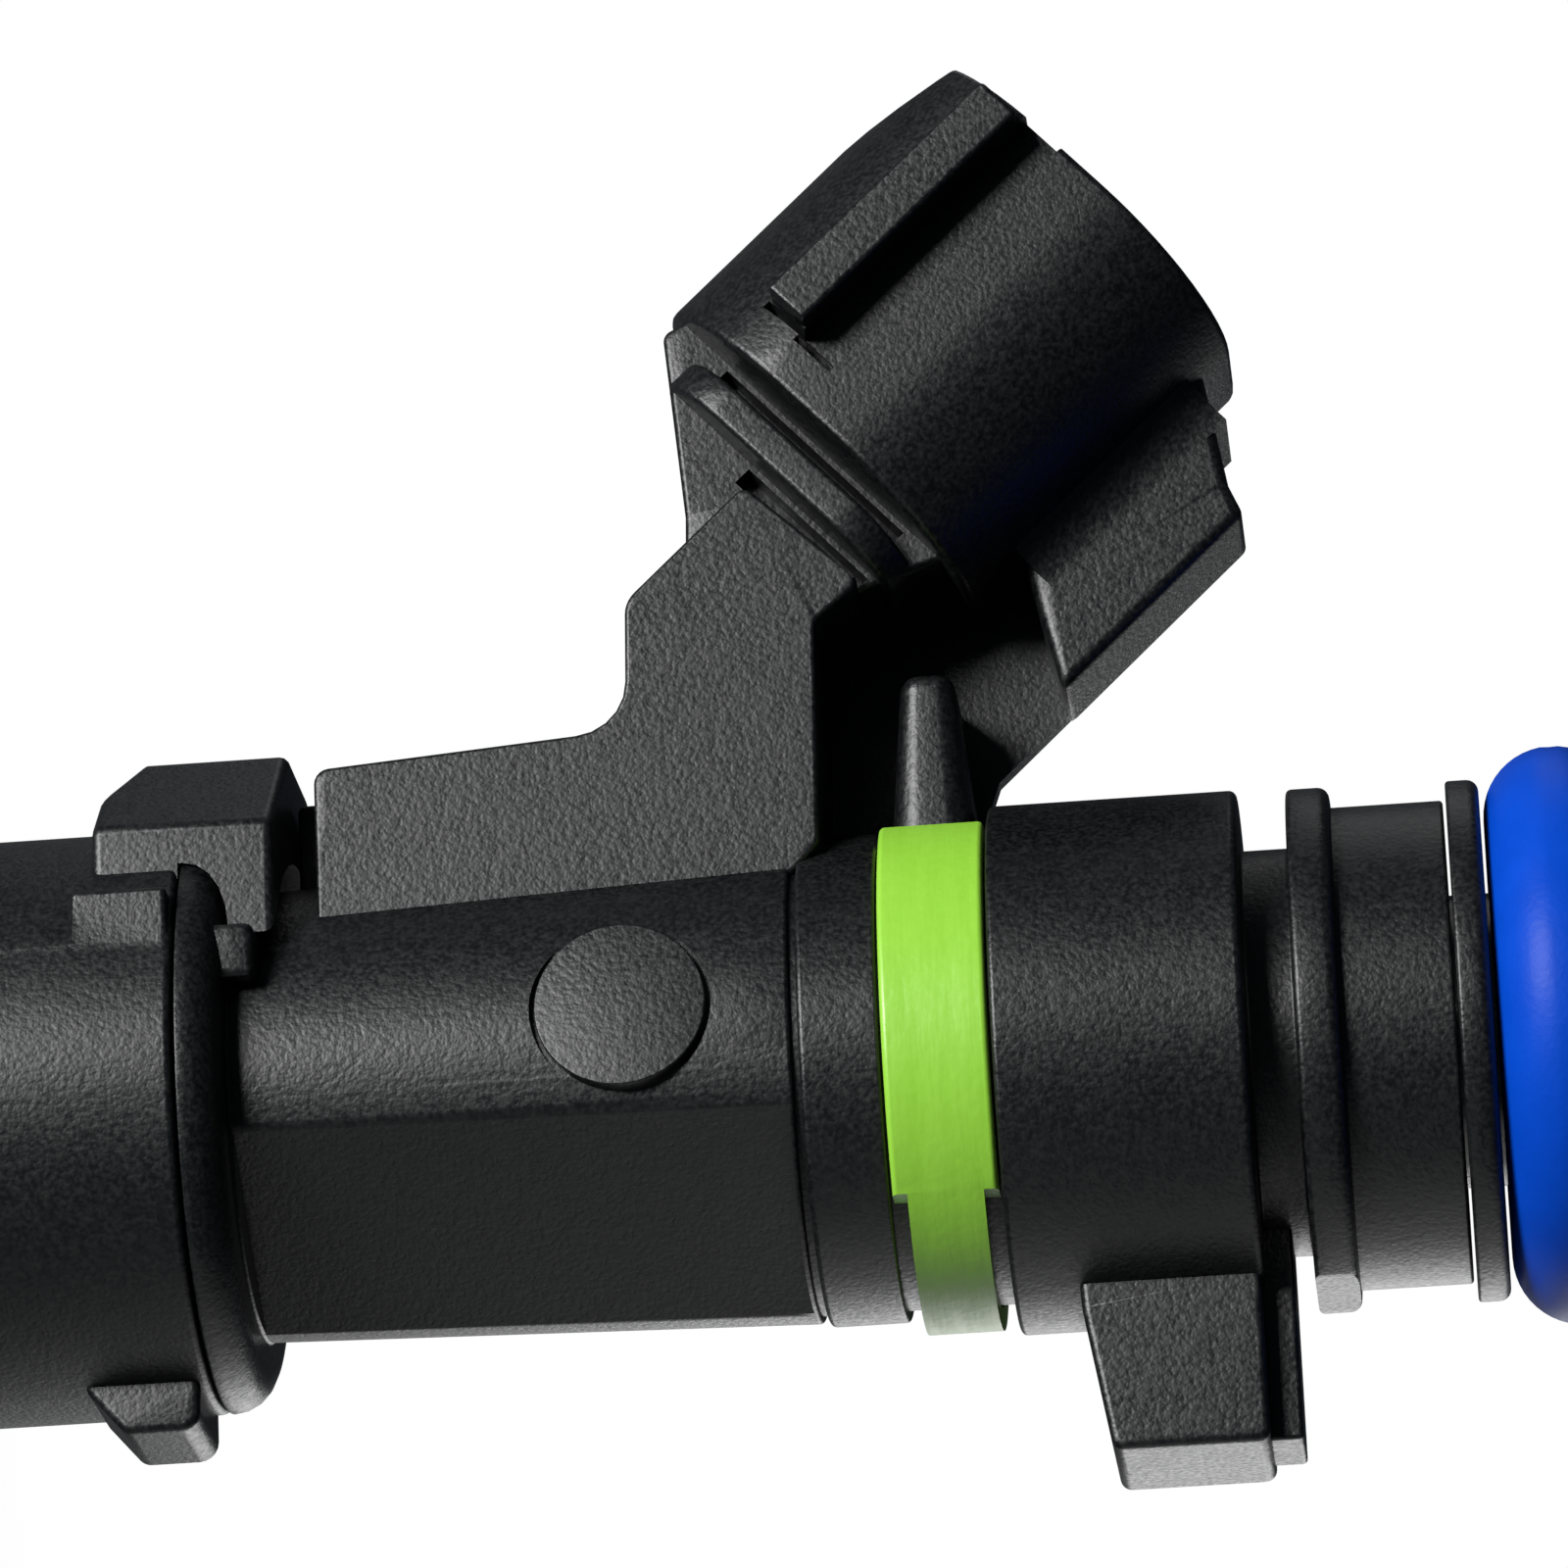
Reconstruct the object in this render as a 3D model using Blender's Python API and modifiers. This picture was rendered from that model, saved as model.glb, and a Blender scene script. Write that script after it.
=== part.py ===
"""A port fuel injector with a long moulded body, a slanted plug shroud and a push-on lower sleeve.

Driving dimensions are in millimetres and MM turns them into Blender's metres. The injector's axis is
Z with the fuel inlet up, the plug shroud points to -X, and the origin is the centre of the upper O-ring.
A side outline is written as (reach, height): reach is the distance from the axis towards the shroud.
"""

import math

import bmesh
import bpy
from mathutils import Matrix, Vector

MM = 0.001
OUTER_SIDES = 36
INNER_SIDES = 20
FIT = 0.07
SEAT = 0.08
WELD = 1e-6
FLAT_ANGLE = math.radians(0.5)

# O-rings: a common 7.52 x 3.53 ring at each end, one injector length apart
RING_SECTION = 1.765
RING_CENTRE = 5.53
RING_SPAN = 60.65

# Metal tubes
TUBE_RADIUS = RING_CENTRE - RING_SECTION - FIT
TUBE_BORE = 2.75
TUBE_TOP = 2.9
TUBE_END = -26.2
LIP_RADIUS = 5.2
VALVE_TUBE_RADIUS = 2.65
VALVE_TUBE_BORE = 2.35
VALVE_TUBE_TOP = -23.0
VALVE_TUBE_END = -52.0

# Moulded body, from the backing ring down to the domed shoulder
BODY_TOP = -2.76
NECK_RADIUS = 6.1
FLANGE_RADIUS = 6.63
FLANGE_TOP = -5.6
FLANGE_TOP_RADIUS = 6.34
FLANGE_CHAMFER = 0.35
FLANGE_STEP = 0.05
FLANGE_CUT_REACH = 4.2
SLOT_TOP = -6.69
SLOT_FLOOR_RADIUS = 5.15
SLOT_BOTTOM = -7.93
UPPER_RADIUS = 6.7
BAND_TOP = -14.2
BAND_BOTTOM = -17.0
BAND_FLOOR_RADIUS = 5.9
BAND_RADIUS = 6.55
COLLAR_RADIUS = 6.2
SEAM_Z = -19.2
SEAM_WIDTH = 0.2
SEAM_DEPTH = 0.35
BODY_RADIUS_TOP = 6.1
BODY_RADIUS_LOW = 5.7
DOME_TOP = -33.3
DOME_RADIUS = 1.05
SHOULDER_RADIUS = 7.45
SHOULDER_END = -34.35

# Plug shroud: the middle of its mouth, its lean from Z and its own sizes
MOUTH_REACH = 22.5
MOUTH_HEIGHT = -11.1
SHROUD_LEAN = math.radians(42.5)
SHROUD_LENGTH = 9.3
SHROUD_HALF_WIDTH = 5.6
SHROUD_BACK = 5.5
SHROUD_FRONT = 5.1
SHROUD_CORNER = 4.4
SHROUD_WALL = 1.1
SHROUD_BACK_STEP = 1.3
MOUTH_SLOPE = math.radians(17)
MOUTH_SLOPE_DEPTH = 4.2
SOCKET_DEPTH = 8.4
KEY_RIB_HALF_SPAN = 6.2
KEY_RIB_LENGTH = 7.7
KEY_RIB_SETBACK = 0.25
KEY_RIB_BACK = -2.9
KEY_RIB_FRONT = -1.6
KEY_GROOVE_FRONT = -0.5
KEY_GROOVE_HALF_SPAN = 4.8
SHROUD_COLLAR_START = 9.95
SHROUD_COLLAR_END = 10.95
KEEL_EDGE = 8.85
KEEL_HALF_WIDTH = 3.1
GUSSET_HALF_WIDTH = 1.6
ARM_HALF_WIDTH = 4.2
SPINE_HALF_WIDTH = 3.2
POST_HALF_WIDTH = 2.6
POST_TOP = -14.1
POST_BOTTOM = -16.6
POST_CORNER = 0.8
POST_INNER_REACH = 5.0
POST_OUTER_REACH = 13.2

# Plug blades
TERMINAL_SPACING = 4.0
TERMINAL_WIDTH = 1.2
TERMINAL_HALF_THICKNESS = 0.3
TERMINAL_TIP_DEPTH = 2.6
TERMINAL_HEEL_DEPTH = 13.0
TERMINAL_ACROSS = 1.0
TERMINAL_ARM_REACH = 6.2
TERMINAL_COIL_REACH = 4.0
TERMINAL_SLOT_END = 0.5

# Index tab opposite the shroud
TAB_REACH = 10.55
TAB_HALF_WIDTH = 2.3
TAB_TOP = -8.0
TAB_RIB_HALF_WIDTH = 1.4
TAB_RIB_HEIGHT = 0.8
TAB_ROOT = 4.5

# Catch nub that keeps the sleeve from turning
NUB_TURN = math.radians(-24)
NUB_HALF_WIDTH = 0.7
NUB_DISTANCE = 6.5
NUB_ROOT = 5.0
NUB_TOP = -32.5
NUB_BOTTOM = -34.2

# Plain round disc on the photographed side
DISC_RADIUS = 2.15
DISC_DISTANCE = 6.12
DISC_ROOT = 4.6
DISC_HEIGHT = -23.4
DISC_TURN = math.radians(-6)
DISC_SIDES = 24

# Marking flat: its distance from the axis and its turn from the photographed side
FLAT_DISTANCE = 4.9
FLAT_TURN = math.radians(54)
FLAT_TAPER = math.radians(1.7)
FLAT_END_GAP = 0.1

# Colour band: its gap on the shroud's side and the tongue on the tab's side
BAND_GAP_HALF_WIDTH = 3.4
TONGUE_HALF_WIDTH = 0.95
TONGUE_START = 3.4

# Rings beside the O-rings
BACKING_RADIUS = 6.58
BACKING_TOP_RADIUS = 6.3
BACKING_CHAMFER = 0.3
RETAINER_RADIUS = 6.2
RETAINER_TIP_RADIUS = 5.4
RETAINER_RIM = 1.2
RETAINER_HEIGHT = 2.0

# Inlet lip and filter
LIP_GAP = 0.15
LIP_ROUND = 0.45
BORE_CHAMFER = 0.4
FILTER_BORE = 1.8
FILTER_RADIUS = 2.2
FILTER_RIM_TOP = 2.2
FILTER_RIM_END = 0.2
FILTER_TOP = 0.1
FILTER_SHOULDER = -1.0
FILTER_FLOOR = -10.8
FILTER_END = -11.5
WINDOW_HALF_WIDTH = 1.1
WINDOW_TOP = -2.0
WINDOW_END = -10.0
SCREEN_BORE = 1.5
SCREEN_TOP = -0.1
SCREEN_END = -10.6

# Coil and valve inside
POT_RADIUS = 6.0
POT_BORE = 5.05
POT_TOP = -33.5
POT_FLOOR = -46.3
POT_END = -49.8
POT_CHAMFER_HEIGHT = 1.2
POT_CHAMFER = 1.0
WASHER_GAP = 0.1
WASHER_THICKNESS = 1.0
BOBBIN_RADIUS = 4.8
BOBBIN_CORE_RADIUS = 3.0
BOBBIN_FLANGE = 0.6
WINDING_RADIUS = 4.65
CORE_TOP = -27.0
ADJUSTER_TOP = -28.5
ADJUSTER_BORE = 0.75
CORE_RADIUS = VALVE_TUBE_BORE - FIT
CORE_BORE = 1.2
CORE_END = -41.0
NEEDLE_GAP = 0.3
ARMATURE_LENGTH = 4.7
ARMATURE_SLIDE = 0.02
ARMATURE_GRIP = 1.2
SPRING_SEAT_GAP = 0.05
NEEDLE_RADIUS = 1.12
NEEDLE_BORE = 0.75
NEEDLE_END = -60.6
BALL_RADIUS = 1.6
BALL_SEAT_GAP = 0.05
SEAT_RADIUS = 3.0
SEAT_BLOCK_TOP = -59.8
SEAT_BLOCK_END = -64.6
SEAT_EXIT_RADIUS = 0.5
SPRAY_PLATE_RADIUS = 2.6
SPRAY_PLATE_THICKNESS = 0.3
SPRAY_HOLE_RADIUS = 0.12
SPRAY_HOLE_CIRCLE = 0.28
SPRAY_HOLE_SIDES = 8
NOZZLE_RIM = 1.2
NOZZLE_CHAMFER = 0.3
NOZZLE_EXIT_RADIUS = 2.2
NOZZLE_BORE = 2.3
SPRING_RADIUS = 0.9
SPRING_WIRE = 0.13
SPRING_TURNS = 10
SPRING_POINTS_PER_TURN = 9
SPRING_TOP = -34.75
SPRING_END = -43.0

# Lower sleeve
SLEEVE_TOP = SHOULDER_END - SEAT
SLEEVE_RADIUS = 7.45
SLEEVE_STEP = -48.0
SLEEVE_SKIRT_RADIUS = 6.5
SLEEVE_END = -58.8
SLEEVE_CHAMFER = 0.2
SHOULDER_GAP = 0.1
HOOK_GAP = 0.25
HOOK_BORE = 6.4
HOOK_LOW = -36.6
HOOK_END = -32.0
HOOK_HALF_WIDTH = 5.3
HOOK_TOP_HALF_WIDTH = 1.9
HOOK_ROOT_REACH = 3.0
HOOK_SIDE_REACH = 6.4
HOOK_SLOPE = math.radians(30)
HOOK_SLOPE_HEIGHT = -35.6
HOOK_TOP_REACH = 9.05
LUG_REACH = 8.47
LUG_HALF_WIDTH = 1.8
LEDGE_LOW = (-4.2, -6.5, -37.35)
LEDGE_HIGH = (-2.0, 6.5, -34.9)

SIDE = Matrix(((-1, 0, 0, 0), (0, 0, 1, 0), (0, 1, 0, 0), (0, 0, 0, 1)))


def clear_scene():
    for obj in list(bpy.data.objects):
        bpy.data.objects.remove(obj, do_unlink=True)


def collection(name):
    made = bpy.data.collections.new(name)
    bpy.context.scene.collection.children.link(made)
    return made


def plain_material(name, colour, roughness, metallic=0.0):
    material = bpy.data.materials.new(name)
    material.use_nodes = True
    shader = material.node_tree.nodes["Principled BSDF"]
    shader.inputs["Base Color"].default_value = (*colour, 1.0)
    shader.inputs["Roughness"].default_value = roughness
    shader.inputs["Metallic"].default_value = metallic
    return material


def new_object(name, data, place):
    obj = bpy.data.objects.new(name, data)
    place.objects.link(obj)
    return obj


def as_part(obj, material):
    obj.data.materials.append(material)
    return obj


def as_cutter(obj):
    obj.hide_render = True
    obj.display_type = "WIRE"
    return obj


def turned(name, profile, sides, place):
    """A solid of revolution about Z. Its (radius, height) profile runs down the outside and up the inside."""
    mesh = bpy.data.meshes.new(name)
    points = [(radius * MM, 0, height * MM) for radius, height in profile]
    edges = [(i, i + 1) for i in range(len(points) - 1)]
    if profile[0][0] or profile[-1][0]:
        edges.append((len(points) - 1, 0))
    mesh.from_pydata(points, edges, [])
    obj = new_object(name, mesh, place)
    screw = obj.modifiers.new("revolve", "SCREW")
    screw.steps = sides
    screw.render_steps = sides
    screw.use_merge_vertices = True
    screw.merge_threshold = WELD
    screw.use_smooth_shade = True
    return obj


def sleeve_profile(outer, inner, top, bottom):
    """The profile of a plain tube."""
    return [(outer, top), (outer, bottom), (inner, bottom), (inner, top)]


def arc(centre, radius, start, end, steps):
    """Points of a circle from one angle to another, in degrees."""
    angles = [math.radians(start + (end - start) * i / steps) for i in range(steps + 1)]
    return [(centre[0] + radius * math.cos(a), centre[1] + radius * math.sin(a)) for a in angles]


def rounded(corners, steps=4):
    """An outline through corners of (x, y, radius), with each corner that has a radius turned into an arc."""
    outline = []
    for index, (x, y, radius) in enumerate(corners):
        here = Vector((x, y))
        if not radius:
            outline.append((x, y))
            continue
        before = (Vector(corners[index - 1][:2]) - here).normalized()
        after = (Vector(corners[(index + 1) % len(corners)][:2]) - here).normalized()
        half = before.angle(after) / 2
        centre = here + (before + after).normalized() * radius / math.sin(half)
        start = here + before * radius / math.tan(half) - centre
        end = here + after * radius / math.tan(half) - centre
        first = math.atan2(start.y, start.x)
        turn = (math.atan2(end.y, end.x) - first + math.pi) % (2 * math.pi) - math.pi
        for step in range(steps + 1):
            angle = first + turn * step / steps
            outline.append((centre.x + radius * math.cos(angle), centre.y + radius * math.sin(angle)))
    return outline


def plate(name, outline, half_width, frame, place):
    """A flat outline in a frame's XY plane, thickened to both sides, as a closed mesh."""
    curve = bpy.data.curves.new(name, "CURVE")
    curve.dimensions = "2D"
    curve.fill_mode = "BOTH"
    curve.extrude = half_width * MM
    spline = curve.splines.new("POLY")
    spline.points.add(len(outline) - 1)
    for point, (x, y) in zip(spline.points, outline):
        point.co = (x * MM, y * MM, 0, 1)
    spline.use_cyclic_u = True
    guide = new_object(name + "_outline", curve, place)
    guide.matrix_world = frame
    bpy.context.view_layer.update()
    mesh = bpy.data.meshes.new_from_object(guide.evaluated_get(bpy.context.evaluated_depsgraph_get()))
    shape = bmesh.new()
    shape.from_mesh(mesh)
    bmesh.ops.remove_doubles(shape, verts=shape.verts, dist=WELD)
    bmesh.ops.dissolve_limit(shape, angle_limit=FLAT_ANGLE, verts=shape.verts, edges=shape.edges)
    bmesh.ops.recalc_face_normals(shape, faces=shape.faces)
    shape.to_mesh(mesh)
    shape.free()
    obj = new_object(name, mesh, place)
    obj.matrix_world = frame.copy()
    bpy.data.objects.remove(guide, do_unlink=True)
    return obj


def block(name, low, high, place, frame=None):
    """A box between two corners, in a frame or in the world."""
    mesh = bpy.data.meshes.new(name)
    shape = bmesh.new()
    bmesh.ops.create_cube(shape, size=1)
    size = Vector(high) - Vector(low)
    middle = (Vector(high) + Vector(low)) / 2
    bmesh.ops.scale(shape, vec=size * MM, verts=shape.verts)
    bmesh.ops.translate(shape, vec=middle * MM, verts=shape.verts)
    shape.to_mesh(mesh)
    shape.free()
    obj = new_object(name, mesh, place)
    if frame is not None:
        obj.matrix_world = frame
    return obj


def combine(obj, other, operation):
    """Adds a Boolean with a helper object."""
    as_cutter(other)
    boolean = obj.modifiers.new(other.name, "BOOLEAN")
    boolean.operation = operation
    boolean.object = other


def shroud_point(across, depth):
    """(reach, height) of a point this far across the shroud, towards the inlet, and this deep behind it."""
    lean = SHROUD_LEAN
    reach = MOUTH_REACH - across * math.cos(lean) - depth * math.sin(lean)
    height = MOUTH_HEIGHT + across * math.sin(lean) - depth * math.cos(lean)
    return reach, height


def shroud_frame(depth):
    """X is across the object, Y is across the shroud towards the inlet, and Z runs from the mouth inwards."""
    lean = SHROUD_LEAN
    reach, height = shroud_point(0, depth)
    across = Vector((0, 1, 0))
    towards_inlet = Vector((math.cos(lean), 0, math.sin(lean)))
    inwards = Vector((math.sin(lean), 0, -math.cos(lean)))
    frame = Matrix((across, towards_inlet, inwards)).transposed().to_4x4()
    frame.translation = Vector((-reach, 0, height)) * MM
    return frame


def oval(half_width, back, front, corner):
    """A rounded rectangle round the shroud's axis, its front towards the inlet."""
    w = half_width
    return rounded([(-w, -back, corner), (w, -back, corner), (w, front, corner), (-w, front, corner)], 5)


def across_shroud(name, outline, shallow, deep, place):
    """An outline across the shroud, carried from one depth to another."""
    return plate(name, outline, (deep - shallow) / 2, shroud_frame((shallow + deep) / 2), place)


def strip(path, width):
    """The outline of a strip of this width along a path of (reach, height)."""
    points = [Vector(p) for p in path]
    left, right = [], []
    for i, point in enumerate(points):
        back = (point - points[i - 1]).normalized() if i else (points[1] - point).normalized()
        ahead = (points[i + 1] - point).normalized() if i + 1 < len(points) else back
        normal = (Vector((-back.y, back.x)) + Vector((-ahead.y, ahead.x))).normalized()
        offset = normal * (width / 2 / normal.dot(Vector((-back.y, back.x))))
        left.append(tuple(point + offset))
        right.append(tuple(point - offset))
    return left + right[::-1]


def terminal_path(clearance):
    """The blades run from the shroud's mouth, down inside the arm, to the coil."""
    tip = shroud_point(TERMINAL_ACROSS, TERMINAL_TIP_DEPTH - clearance)
    heel = shroud_point(TERMINAL_ACROSS, TERMINAL_HEEL_DEPTH)
    arm, coil = TERMINAL_ARM_REACH, TERMINAL_COIL_REACH
    return [tip, heel, (arm, -22.5), (arm, -29.8), (coil, -31.3), (coil, POT_TOP - clearance)]


def body_profile():
    """The moulded body turned about the axis, without its bores."""
    dome = arc((SHOULDER_RADIUS - DOME_RADIUS, DOME_TOP - DOME_RADIUS), DOME_RADIUS, 90, 0, 4)
    return [
        (0, BODY_TOP),
        (NECK_RADIUS, BODY_TOP),
        (NECK_RADIUS, FLANGE_TOP + FLANGE_STEP),
        (FLANGE_TOP_RADIUS, FLANGE_TOP),
        (FLANGE_RADIUS, FLANGE_TOP - FLANGE_CHAMFER),
        (FLANGE_RADIUS, SLOT_TOP),
        (SLOT_FLOOR_RADIUS, SLOT_TOP),
        (SLOT_FLOOR_RADIUS, SLOT_BOTTOM),
        (UPPER_RADIUS, SLOT_BOTTOM),
        (UPPER_RADIUS, BAND_TOP),
        (BAND_FLOOR_RADIUS, BAND_TOP),
        (BAND_FLOOR_RADIUS, BAND_BOTTOM),
        (COLLAR_RADIUS, BAND_BOTTOM),
        (COLLAR_RADIUS, SEAM_Z + SEAM_WIDTH),
        (COLLAR_RADIUS - SEAM_DEPTH, SEAM_Z + SEAM_WIDTH),
        (COLLAR_RADIUS - SEAM_DEPTH, SEAM_Z),
        (BODY_RADIUS_TOP, SEAM_Z),
        (BODY_RADIUS_LOW, DOME_TOP),
        *dome,
        (SHOULDER_RADIUS, SHOULDER_END),
        (0, SHOULDER_END),
    ]


def arm_shape(place):
    """The broad flat arm that carries the shroud."""
    corners = [
        (3.0, -31.1, 0),
        (7.86, -31.1, 0.4),
        (8.4, -23.15, 1.4),
        (11.8, -23.05, 0.8),
        (14.7, -19.9, 0.3),
        (11.9, -17.0, 0.3),
        (10.93, -18.25, 0.4),
        (5.0, -18.4, 0.5),
        (3.0, -20.4, 0),
    ]
    return plate("arm", rounded(corners, 3), ARM_HALF_WIDTH, SIDE, place)


def spine_shape(place):
    """The narrower spine behind the shroud."""
    corners = [
        (10.5, -20.5, 0),
        (11.5, -21.6, 0),
        (14.3, -21.3, 0.6),
        (19.3, -21.6, 0.3),
        (*shroud_point(-4.6, 9.0), 0),
        (*shroud_point(4.8, 9.0), 0),
        (11.9, -17.3, 0),
    ]
    return plate("spine", rounded(corners, 3), SPINE_HALF_WIDTH, SIDE, place)


def keel_shape(place):
    """The keel on the shroud's latch side, down to the upper body."""
    corners = [
        (*shroud_point(3.6, 1.2), 0),
        (*shroud_point(5.4, 1.0), 0.4),
        (*shroud_point(8.0, 2.7), 0.3),
        (*shroud_point(KEEL_EDGE, 3.0), 0.3),
        (*shroud_point(KEEL_EDGE, 12.0), 0),
        (5.6, -14.9, 0),
        (13.0, -13.4, 0),
        (*shroud_point(3.6, 7.2), 0),
    ]
    return plate("keel", rounded(corners, 3), KEEL_HALF_WIDTH, SIDE, place)


def gusset_shape(place):
    """The thin web that closes the recess between the arm and the keel."""
    corners = [(5.2, -14.1), (8.0, -13.6), (11.0, -12.0), shroud_point(4.2, 5.0)]
    corners += [shroud_point(3.0, 9.0), (11.4, -19.0), (5.2, -19.0)]
    return plate("gusset", corners, GUSSET_HALF_WIDTH, SIDE, place)


def post_shape(place):
    """The rounded post in that recess, from the upper body to the shroud."""
    w, top, bottom, corner = POST_HALF_WIDTH, POST_TOP, POST_BOTTOM, POST_CORNER
    section = [(-w, bottom, corner), (w, bottom, corner), (w, top, corner), (-w, top, corner)]
    low, high = POST_INNER_REACH, POST_OUTER_REACH
    frame = Matrix(((0, 0, 1, -(low + high) / 2 * MM), (1, 0, 0, 0), (0, 1, 0, 0), (0, 0, 0, 1)))
    return plate("post", rounded(section), (high - low) / 2, frame, place)


def key_rib_shape(place):
    """Two flat guide ribs along the sides of the shroud."""
    low = (-KEY_RIB_HALF_SPAN, KEY_RIB_BACK, KEY_RIB_SETBACK)
    high = (KEY_RIB_HALF_SPAN, KEY_RIB_FRONT, KEY_RIB_LENGTH)
    return block("key_ribs", low, high, place, shroud_frame(0))


def key_groove_shape(side, place):
    """The groove under a guide rib, on one side of the shroud."""
    ends = sorted((side * KEY_GROOVE_HALF_SPAN, side * (KEY_RIB_HALF_SPAN + 1)))
    low, high = (ends[0], KEY_RIB_FRONT, -1.0), (ends[1], KEY_GROOVE_FRONT, KEY_RIB_LENGTH)
    return block("key_groove", low, high, place, shroud_frame(0))


def mouth_slope_shape(place):
    """A wedge that tapers the shroud's back towards its mouth."""
    start = shroud_frame(MOUTH_SLOPE_DEPTH) @ Matrix.Translation((0, -SHROUD_BACK * MM, 0))
    frame = start @ Matrix.Rotation(MOUTH_SLOPE, 4, "X")
    return block("mouth_slope", (-8, -3, -5.5), (8, 0, 0), place, frame)


def tab_shape(place):
    """The index tab opposite the shroud, tapered on its lower edge."""
    root, end = -TAB_ROOT, -TAB_REACH
    corners = [(root, -12.6, 0), (-6.9, -12.5, 0.6), (end, -11.9, 0.3)]
    corners += [(end, TAB_TOP, 0.3), (root, TAB_TOP, 0)]
    return plate("tab", rounded(corners, 3), TAB_HALF_WIDTH, SIDE, place)


def tab_rib_shape(place):
    """The thinner rib beside the tab, towards the inlet."""
    low = (TAB_ROOT, -TAB_RIB_HALF_WIDTH, TAB_TOP - 0.1)
    high = (TAB_REACH - 0.2, TAB_RIB_HALF_WIDTH, TAB_TOP + TAB_RIB_HEIGHT)
    return block("tab_rib", low, high, place)


def catch_nub_shape(place):
    """The nub beside the shoulder that keeps the sleeve from turning."""
    low, high = (-NUB_HALF_WIDTH, -NUB_DISTANCE, NUB_BOTTOM), (NUB_HALF_WIDTH, -NUB_ROOT, NUB_TOP)
    return block("catch_nub", low, high, place, Matrix.Rotation(NUB_TURN, 4, "Z"))


def disc_shape(place):
    """The plain round disc that stands a little proud of the barrel."""
    profile = [(0, DISC_DISTANCE), (DISC_RADIUS, DISC_DISTANCE), (DISC_RADIUS, DISC_ROOT), (0, DISC_ROOT)]
    disc = turned("side_disc", profile, DISC_SIDES, place)
    outwards = Matrix.Rotation(math.radians(90), 4, "X")
    turn = Matrix.Rotation(DISC_TURN, 4, "Z")
    disc.matrix_world = turn @ Matrix.Translation((0, 0, DISC_HEIGHT * MM)) @ outwards
    return disc


def marking_flat_shape(place):
    """The block that cuts the long flat into the barrel."""
    middle = Matrix.Translation((0, -FLAT_DISTANCE * MM, (SEAM_Z + DOME_TOP) / 2 * MM))
    frame = Matrix.Rotation(FLAT_TURN, 4, "Z") @ middle @ Matrix.Rotation(FLAT_TAPER, 4, "X")
    half_length = (SEAM_Z - DOME_TOP) / 2 - FLAT_END_GAP
    return block("marking_flat", (-5, -4, -half_length), (5, 0, half_length), place, frame)


def flange_relief_shape(place):
    """The ring that trims the flange on the tab's side."""
    profile = sleeve_profile(FLANGE_RADIUS + 1, NECK_RADIUS, FLANGE_TOP + 0.2, SLOT_TOP - 0.2)
    relief = turned("flange_relief", profile, OUTER_SIDES, place)
    combine(relief, block("flange_kept", (-9, -9, -9), (FLANGE_CUT_REACH, 9, -4), place), "DIFFERENCE")
    return relief


def make_body(parts, cutters, material):
    body = as_part(turned("body_overmould", body_profile(), OUTER_SIDES, parts), material)
    tube = across_shroud(
        "shroud", oval(SHROUD_HALF_WIDTH, SHROUD_BACK, SHROUD_FRONT, SHROUD_CORNER), 0, SHROUD_LENGTH, cutters
    )
    collar_outline = oval(4.6, 3.9, 4.2, 2.0)
    collar = across_shroud("shroud_collar", collar_outline, SHROUD_COLLAR_START, SHROUD_COLLAR_END, cutters)
    joined = [arm_shape(cutters), spine_shape(cutters), gusset_shape(cutters), keel_shape(cutters)]
    joined += [post_shape(cutters), tube, key_rib_shape(cutters), collar, tab_shape(cutters)]
    joined += [tab_rib_shape(cutters), catch_nub_shape(cutters), disc_shape(cutters)]
    for shape in joined:
        combine(body, shape, "UNION")

    wall = SHROUD_WALL
    back = SHROUD_BACK - SHROUD_BACK_STEP - wall
    inside = oval(SHROUD_HALF_WIDTH - wall, back, SHROUD_FRONT - wall, SHROUD_CORNER - wall)
    bore = TUBE_RADIUS + FIT
    low_bore = VALVE_TUBE_RADIUS + FIT
    recess = POT_RADIUS + FIT
    bore_profile = [
        (0, 1),
        (bore, 1),
        (bore, TUBE_END - SEAT),
        (low_bore, TUBE_END - SEAT),
        (low_bore, POT_TOP + SEAT),
        (recess, POT_TOP + SEAT),
        (recess, SHOULDER_END - 1),
        (0, SHOULDER_END - 1),
    ]
    for side in (-1, 1):
        frame = Matrix.Translation((0, side * TERMINAL_SPACING / 2 * MM, 0)) @ SIDE
        outline = strip(terminal_path(TERMINAL_SLOT_END), TERMINAL_WIDTH + 2 * FIT)
        slot = plate("terminal_slot", outline, TERMINAL_HALF_THICKNESS + FIT, frame, cutters)
        combine(body, slot, "DIFFERENCE")
    combine(body, marking_flat_shape(cutters), "DIFFERENCE")
    for side in (-1, 1):
        combine(body, key_groove_shape(side, cutters), "DIFFERENCE")
    combine(body, mouth_slope_shape(cutters), "DIFFERENCE")
    combine(body, flange_relief_shape(cutters), "DIFFERENCE")
    combine(body, across_shroud("socket", inside, -1.0, SOCKET_DEPTH, cutters), "DIFFERENCE")
    combine(body, turned("body_bore", bore_profile, OUTER_SIDES, cutters), "DIFFERENCE")


def make_terminals(parts, material):
    for name, side in (("terminal_a", -1), ("terminal_b", 1)):
        frame = Matrix.Translation((0, side * TERMINAL_SPACING / 2 * MM, 0)) @ SIDE
        outline = strip(terminal_path(0.0), TERMINAL_WIDTH)
        as_part(plate(name, outline, TERMINAL_HALF_THICKNESS, frame, parts), material)


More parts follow.
